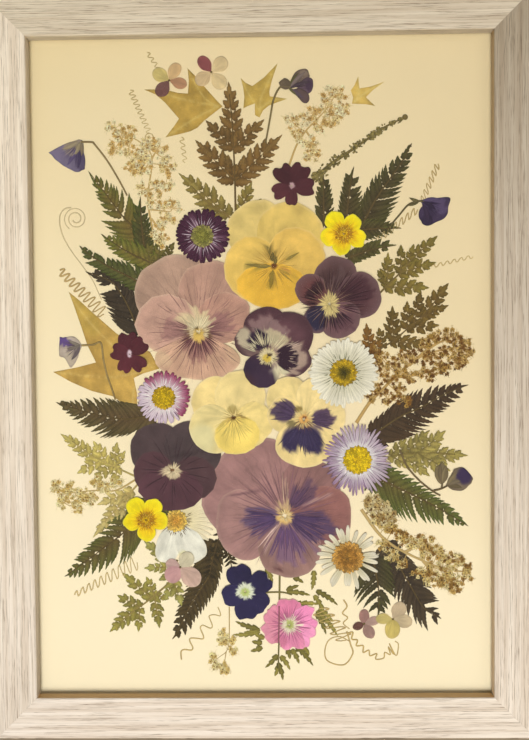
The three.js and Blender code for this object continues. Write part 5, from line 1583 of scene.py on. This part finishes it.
press_spray("spray_left", 0.2, "petal_yellow", [
    [(-54, -47), (-65, -53), (-75, -53), (-84, -54)], [(-70, -53), (-67, -49)], [(-79, -53.4), (-84, -60)]],
    [
    (-88, -54), (-84.6, -51.6), (-82, -55), (-88, -58.4), (-82, -60), (-78.6, -54.4), (-70, -51.6),
    (-73, -49), (-64.6, -50), (-76, -57), (-90.6, -51)], 2.8, 13, 1.0, [(248, 230, 176), (238, 212, 140),
    (220, 184, 104)], (136, 102, 54), (196, 168, 104), 23)
press_spray("astilbe_right", 0.3, "leaf_ochre", [
    [(41, -24), (47, -15), (52, -10), (58, -4), (64, 1), (72, 6), (84, 8.6)], [(58, -4), (68, -3), (78, 0)],
    [(64, 1), (74, 9), (82, 13)]], [
    (50, 7), (53, 4.6), (49, 1.4), (53.4, -1), (58, 2), (61, -1.6), (65, -4), (69, -1), (73, -3.4), (77, 0),
    (80, -1), (84, 2), (87, 3.4), (89.4, 6.4), (88.6, 10), (85, 12), (81.4, 14), (77, 13), (73.4, 12.4),
    (70.4, 9.4), (66, 5), (72, 4), (76, 6), (81, 7), (85, 7), (62, 4.6), (56, -5), (51.6, -9.6), (60, -9.6),
    (48, -12), (55, -13.4), (62, -14)], 2.9, 15, 0.9, [(188, 148, 74), (156, 110, 48), (122, 80, 34),
    (208, 172, 104)], (88, 56, 24), (196, 160, 98), 24, wide=1.6)
press_spray("spray_lower_right", 0.5, "petal_yellow", [
    [(43, -62), (50, -72), (56, -77.5), (62, -81), (68, -84), (75, -87), (82, -89), (90, -90)], [(62, -81),
    (70, -77)], [(70, -85), (78, -94)]], [
    (50, -66), (53.6, -70), (58, -71.6), (61.4, -75), (65, -77), (69, -76.4), (73, -77.4), (71.4, -81.4),
    (76, -81), (80, -83.4), (84.4, -84.6), (88, -87), (89.4, -91), (84.6, -93.4), (80, -92), (76.4, -94.4),
    (72.4, -92.4), (68, -90), (75, -88), (82, -88.4), (56.4, -82.6), (52.6, -78), (60.4, -86), (84, -97),
    (79, -96)], 2.9, 14, 1.0, [(226, 196, 122), (196, 156, 84), (156, 114, 54), (240, 218, 158)],
    (88, 60, 26), (200, 170, 112), 25, wide=1.5)
press_spray("florets_by_lilac", 0.4, "petal_yellow", [[(45, -64), (49, -61), (53, -58)]], [(50.6, -58.6),
    (53.4, -62), (48, -62.4), (46.4, -58.6), (56, -66), (52, -66)], 2.8, 11, 1.3, [(214, 190, 132),
    (186, 154, 96), (224, 204, 156)], (104, 74, 40), (160, 132, 86), 26, petals=6)
press_spray("spray_bottom", 0.2, "petal_yellow", [
    [(-15.4, -105), (-15.5, -116), (-15.7, -121), (-17, -125), (-20, -127.3), (-22, -129)], [(-17, -125),
    (-18, -131)]], [
    (-17.6, -117), (-15.2, -119.6), (-18.6, -120), (-14, -124.3), (-23, -128), (-22, -131), (-18.5, -131.5),
    (-17.5, -134)], 2.0, 8, 1.05, [(248, 228, 166), (232, 200, 124)], (122, 88, 44), (182, 156, 96), 27,
    wide=0.5)

print("sprays: 7")

# %% [markdown]
# The knobbly spike at the top right carries small clumps of seed heads that shrink towards its end.
# They are rounded buttons, scattered across the stem.

# %% The knobbly spike
spike = Specimen("flower_spike", 0.3)
spike_stem = [(22, 81), (30, 88), (36, 92), (42, 96), (48, 100), (54, 104), (58, 106), (62.6, 108.2)]
spike_line = smooth_line(spike_stem, 9)
lay_strip(spike, spike_line, np.linspace(0.8, 0.3, len(spike_line)), (116, 100, 58), 0.0, 0.2, 0.3)
chance = np.random.default_rng(31)
for share in np.sort(chance.uniform(0.02, 0.97, 46)):
    u, v = spike_line[int(share * (len(spike_line) - 1))]
    clump = (2.4 - 1.5 * share) * chance.uniform(0.5, 1.2)
    for k in range(7):
        away = chance.uniform(-1, 1) * clump
        drift = chance.uniform(-0.8, 0.8)
        at = (u - away * 0.5 + drift * 0.86, v + away * 0.86 + drift * 0.5)
        size = (0.72 - 0.3 * share) * chance.uniform(0.7, 1.3)
        colour = np.array((126, 112, 66)) * chance.uniform(0.7, 1.2)
        squash, turned = chance.uniform(0.5, 0.9), chance.uniform(0, 3)
        lay_bump(spike, *at, size, colour, 0.05, 0.3, squash, turned, sides=7)
lay_bump(spike, 62.8, 108.2, 1.3, (112, 96, 58), 0.1, 0.4)
spike.finish([FLORET], "leaf_olive", thick=0)
print("spike: 46 clumps")

# %% [markdown]
# Narrow leaves stand along the rosemary sprig, and the leafy stem at the foot of the bunch has
# pointed leaflets in pairs. Both are blades on a stem.

# %% Leafy stems


def press_blades(name, layer, slot, stems, blades, half, tint, stem_tint, wide, lobed=False):
    plant = Specimen(name, layer)
    for line in stems:
        lay_stem(plant, line, wide, wide * 0.7, stem_tint)
    for i, (base, tip) in enumerate(blades):
        colour = np.array(tint) * (1 + 0.12 * math.sin(i * 2.4))
        rise = 0.02 * (i % 3)
        if lobed:
            lay_leaflet(plant, base, tip, half, colour * 0.9, colour, rise, i, 0.05, 2.4, 0.5, 3.5)
        else:
            lay_blade(plant, base, tip, half, colour, rise, 0.06 * (-1) ** i, 9, 0.4)
    return plant.finish([LEAF], slot)


def paired_blades(line, pairs, long):
    """Leaflets on both sides of a line, as (base, tip)."""
    line = smooth_line(line, 8)
    blades = []
    for i in range(pairs):
        k = int((i + 0.5) * (len(line) - 2) / pairs)
        ahead = math.atan2(*(line[k + 1] - line[k])[::-1])
        for side in (-1, 1):
            angle = ahead + side * math.radians(55)
            blades.append((line[k], line[k] + long * np.array([math.cos(angle), math.sin(angle)])))
    return blades


ROSEMARY = [
    [(-12, -82), (-20, -81), (-28.5, -80)], [(-19, -72), (-22.5, -84), (-24, -92)], [(-17, -74),
    (-14, -88)]]
press_blades("rosemary_sprig", 0.5, "leaf_dark", ROSEMARY,
    sum([paired_blades(line, 8, 3.6) for line in ROSEMARY], []), 0.55, (64, 54, 34), (84, 68, 42), 0.6)
press_blades("leafy_stem", 0.2, "leaf_olive", [
    [(7, -89), (6.8, -100), (6.6, -110), (6.4, -120), (6.2, -125), (6, -132)], [(-4.5, -98.8), (7, -98.5),
    (12, -99.5)]], [
    ((5.6, -126.4), (0.2, -132.2)), ((7, -127), (11.2, -133.2)), ((5.8, -130), (8, -137.8)),
    ((6, -131), (4.4, -136)), ((10, -98.5), (20.4, -100)), ((10, -98), (15.4, -95.6)),
    ((14, -104), (24.4, -104)), ((13, -92), (17.4, -94.4)), ((1, -88), (3.8, -94.4)),
    ((22, -89), (21, -97.6)), ((23, -98), (32.4, -104.4)), ((22, -100), (26.4, -108)),
    ((-1, -123), (-6.2, -124.8)), ((-1, -121), (-5.6, -120.4)), ((0, -119), (-4.6, -116.6)),
    ((14, -123), (21.4, -131.4)), ((16, -122), (19.8, -126.4)), ((12, -124), (15.2, -130.4)),
    ((10, -124), (11.2, -128.4)), ((-2, -116), (-13.8, -117.4)), ((-3, -114.6), (-12.8, -111.4)),
    ((-2, -115), (-9, -116.4)), ((23, -107), (32.4, -118.2)), ((23, -108), (27.2, -117.4)),
    ((24, -106), (30.4, -111.8))], 1.5, (150, 138, 68), (124, 112, 66), 0.9, lobed=True)
print("leafy stems: 2")

# %% [markdown]
# Tendrils are the thinnest pieces. Some are given point by point, and the regular
# coils, pressed flat into waves, come from a formula.

# %% Tendrils


def wave(start, end, count, high, skew=0.12, per=12):
    """A coil pressed flat: waves from start to end, each leaning ahead; high may be (first, last)."""
    start, end = np.asarray(start, float), np.asarray(end, float)
    along = (end - start) / count
    across = np.array([-along[1], along[0]]) / math.hypot(*along)
    turn = np.linspace(0, 2 * math.pi * count, count * per + 1)[:, None]
    first, last = high if isinstance(high, tuple) else (high, high)
    high = np.linspace(first, last, len(turn))[:, None]
    swing = np.sign(np.sin(turn)) * np.abs(np.sin(turn)) ** 0.7
    return start + along * (turn / (2 * math.pi) + skew * np.sin(turn)) + across * high * swing


def ring(centre, radius, start=0, turns=1.0, inner=None, per=14):
    angle = np.radians(start) + np.linspace(0, 2 * math.pi * turns, int(per * abs(turns)) + 1)
    reach = np.linspace(radius if inner is None else inner, radius, len(angle))
    return np.stack([centre[0] + reach * np.cos(angle), centre[1] + reach * np.sin(angle)], -1)


def press_tendril(name, tint, wide, lines, layer=0):
    plant = Specimen(name, layer)
    for line in lines:
        lay_stem(plant, line, wide, wide * 0.6, tint, 0.02, 0, 5)
    plant.finish([LEAF], "leaf_ochre")


press_tendril("tendril_top", (196, 170, 112), 0.42, [wave((-48.4, 137.5), (-42.5, 129), 4, 0.8),
    wave((-56, 121.5), (-48, 103), 9, 1.1), ring((-48, 101), 1.8, 90, 1.1),
    wave((-34, 101), (-32.5, 90), 4, 0.9)])
press_tendril("tendril_right_top", (196, 168, 110), 0.5, [wave((77, 88), (70, 72), 6, 1.2, skew=0.45),
    wave((68, 68.5), (50, 55), 7, 1.3, skew=0.45)])
press_tendril("tendril_spiral", (218, 196, 156), 0.55, [ring((-80.7, 66.3), 5.2, 200, 2.1, inner=1.4), [
    (-82.6, 71.2), (-85.6, 70.6), (-87.5, 68), (-87.7, 64), (-86.5, 59), (-84.5, 55), (-82, 51), (-79, 47),
    (-76.5, 43.5), (-73.5, 39), (-70, 31)]])
press_tendril("tendril_left_coil", (194, 164, 108), 0.8, [wave((-88, 44), (-69, 24.6), 9, (1.6, 2.8))], 0.7)
press_tendril("tendril_right", (206, 176, 112), 0.45, [wave((74, 43.8), (92, 48), 6, 0.7)])
press_tendril("tendril_lower_left", (214, 188, 132), 0.6,
    [wave((-84, -99.4), (-56, -85), 10, (1.0, 3.2), skew=0.3)])
press_tendril("tendril_bottom", (208, 180, 118), 0.65, [
    [
    (-36.9, -128.5), (-37, -125), (-35.5, -124), (-32.5, -124.3), (-31.8, -123), (-33, -120.5),
    (-32.8, -119), (-30, -119), (-27.3, -119.3), (-27, -118), (-28, -115.5), (-28.3, -114), (-27, -113.2),
    (-24, -114.5), (-23, -113.5), (-24, -110.5), (-24.3, -109), (-22, -108.5), (-19.5, -109),
    (-19.5, -107.5), (-20.5, -105)]])
press_tendril("tendril_loops", (206, 176, 116), 0.7, [
    [(35, -102), (36.5, -105), (34.5, -108), (36.8, -110), (34.8, -112.5), (37.5, -115)],
    wave((24, -106), (36, -120), 5, 3.4, skew=0.55), [
    (36.3, -116), (38, -122), (38.9, -126), (35, -131), (28, -129.4), (26.6, -125), (28.4, -120),
    (33, -118.4), (37.4, -120.4)]])
press_tendril("tendril_wavy", (206, 176, 110), 0.7, [
    [
    (36.5, -117), (39, -116.5), (38.5, -119.5), (41, -120), (40.5, -122.5), (43.5, -122.5), (43.5, -125.5),
    (46, -124.5), (46.5, -127), (49.5, -126), (49, -128.5), (52.5, -128), (53, -125.5), (55.5, -126.5),
    (54.5, -123), (57, -126.5), (55, -121.5), (58, -127), (59, -122), (57.5, -120.5)]])
print("tendrils: 9")

# %% [markdown]
# The studio is a plain pale floor, three soft lamps in front of the frame and one behind it. Lamps
# and floor are kept out of the mirror image in the glass, so that the flowers stay easy to see.

# %% Studio
floor_mesh = bpy.data.meshes.new("floor")
floor_mesh.from_pydata([(-2, -2, 0), (2, -2, 0), (2, 2, 0), (-2, 2, 0)], [], [[0, 1, 2, 3]])
floor = add_object("floor", floor_mesh)
floor.visible_shadow = False
floor.visible_glossy = False
floor.visible_transmission = False
FLOOR_PAINT, _, _ = new_material("pale_floor", {"Base Color": rgba((214, 196, 172)), "Roughness": 0.8})
floor_mesh.materials.append(FLOOR_PAINT)

world = bpy.data.worlds.new("studio")
bpy.context.scene.world = world
world.use_nodes = True
LAMP_COLOUR = (1.0, 0.98, 0.95)
sky = world.node_tree.nodes["Background"]
sky.inputs["Color"].default_value = (*LAMP_COLOUR, 1)
sky.inputs["Strength"].default_value = 0.16


def area_light(name, place, aim, size, power):
    data = bpy.data.lights.new(name, "AREA")
    data.shape = "DISK"
    data.size = size
    data.energy = power
    data.color = LAMP_COLOUR
    lamp = add_object(name, data)
    lamp.location = place
    lamp.rotation_euler = (Vector(aim) - Vector(place)).to_track_quat("-Z", "Y").to_euler()
    lamp.visible_glossy = False
    lamp.visible_transmission = False


area_light("softbox", (-0.02, -0.85, 0.02), (0, 0, 0.12), 0.3, 6.9)
area_light("left_fill", (-0.2, -0.8, -0.1), (0, 0, 0.1), 0.5, 1.6)
area_light("side_light", (0.4, -0.8, 0.3), (0, 0, 0.12), 0.5, 0.8)
area_light("back_light", (0.25, 0.6, 0.75), (0, 0, 0.15), 0.5, 7.0)
bpy.context.scene.view_settings.view_transform = "Standard"
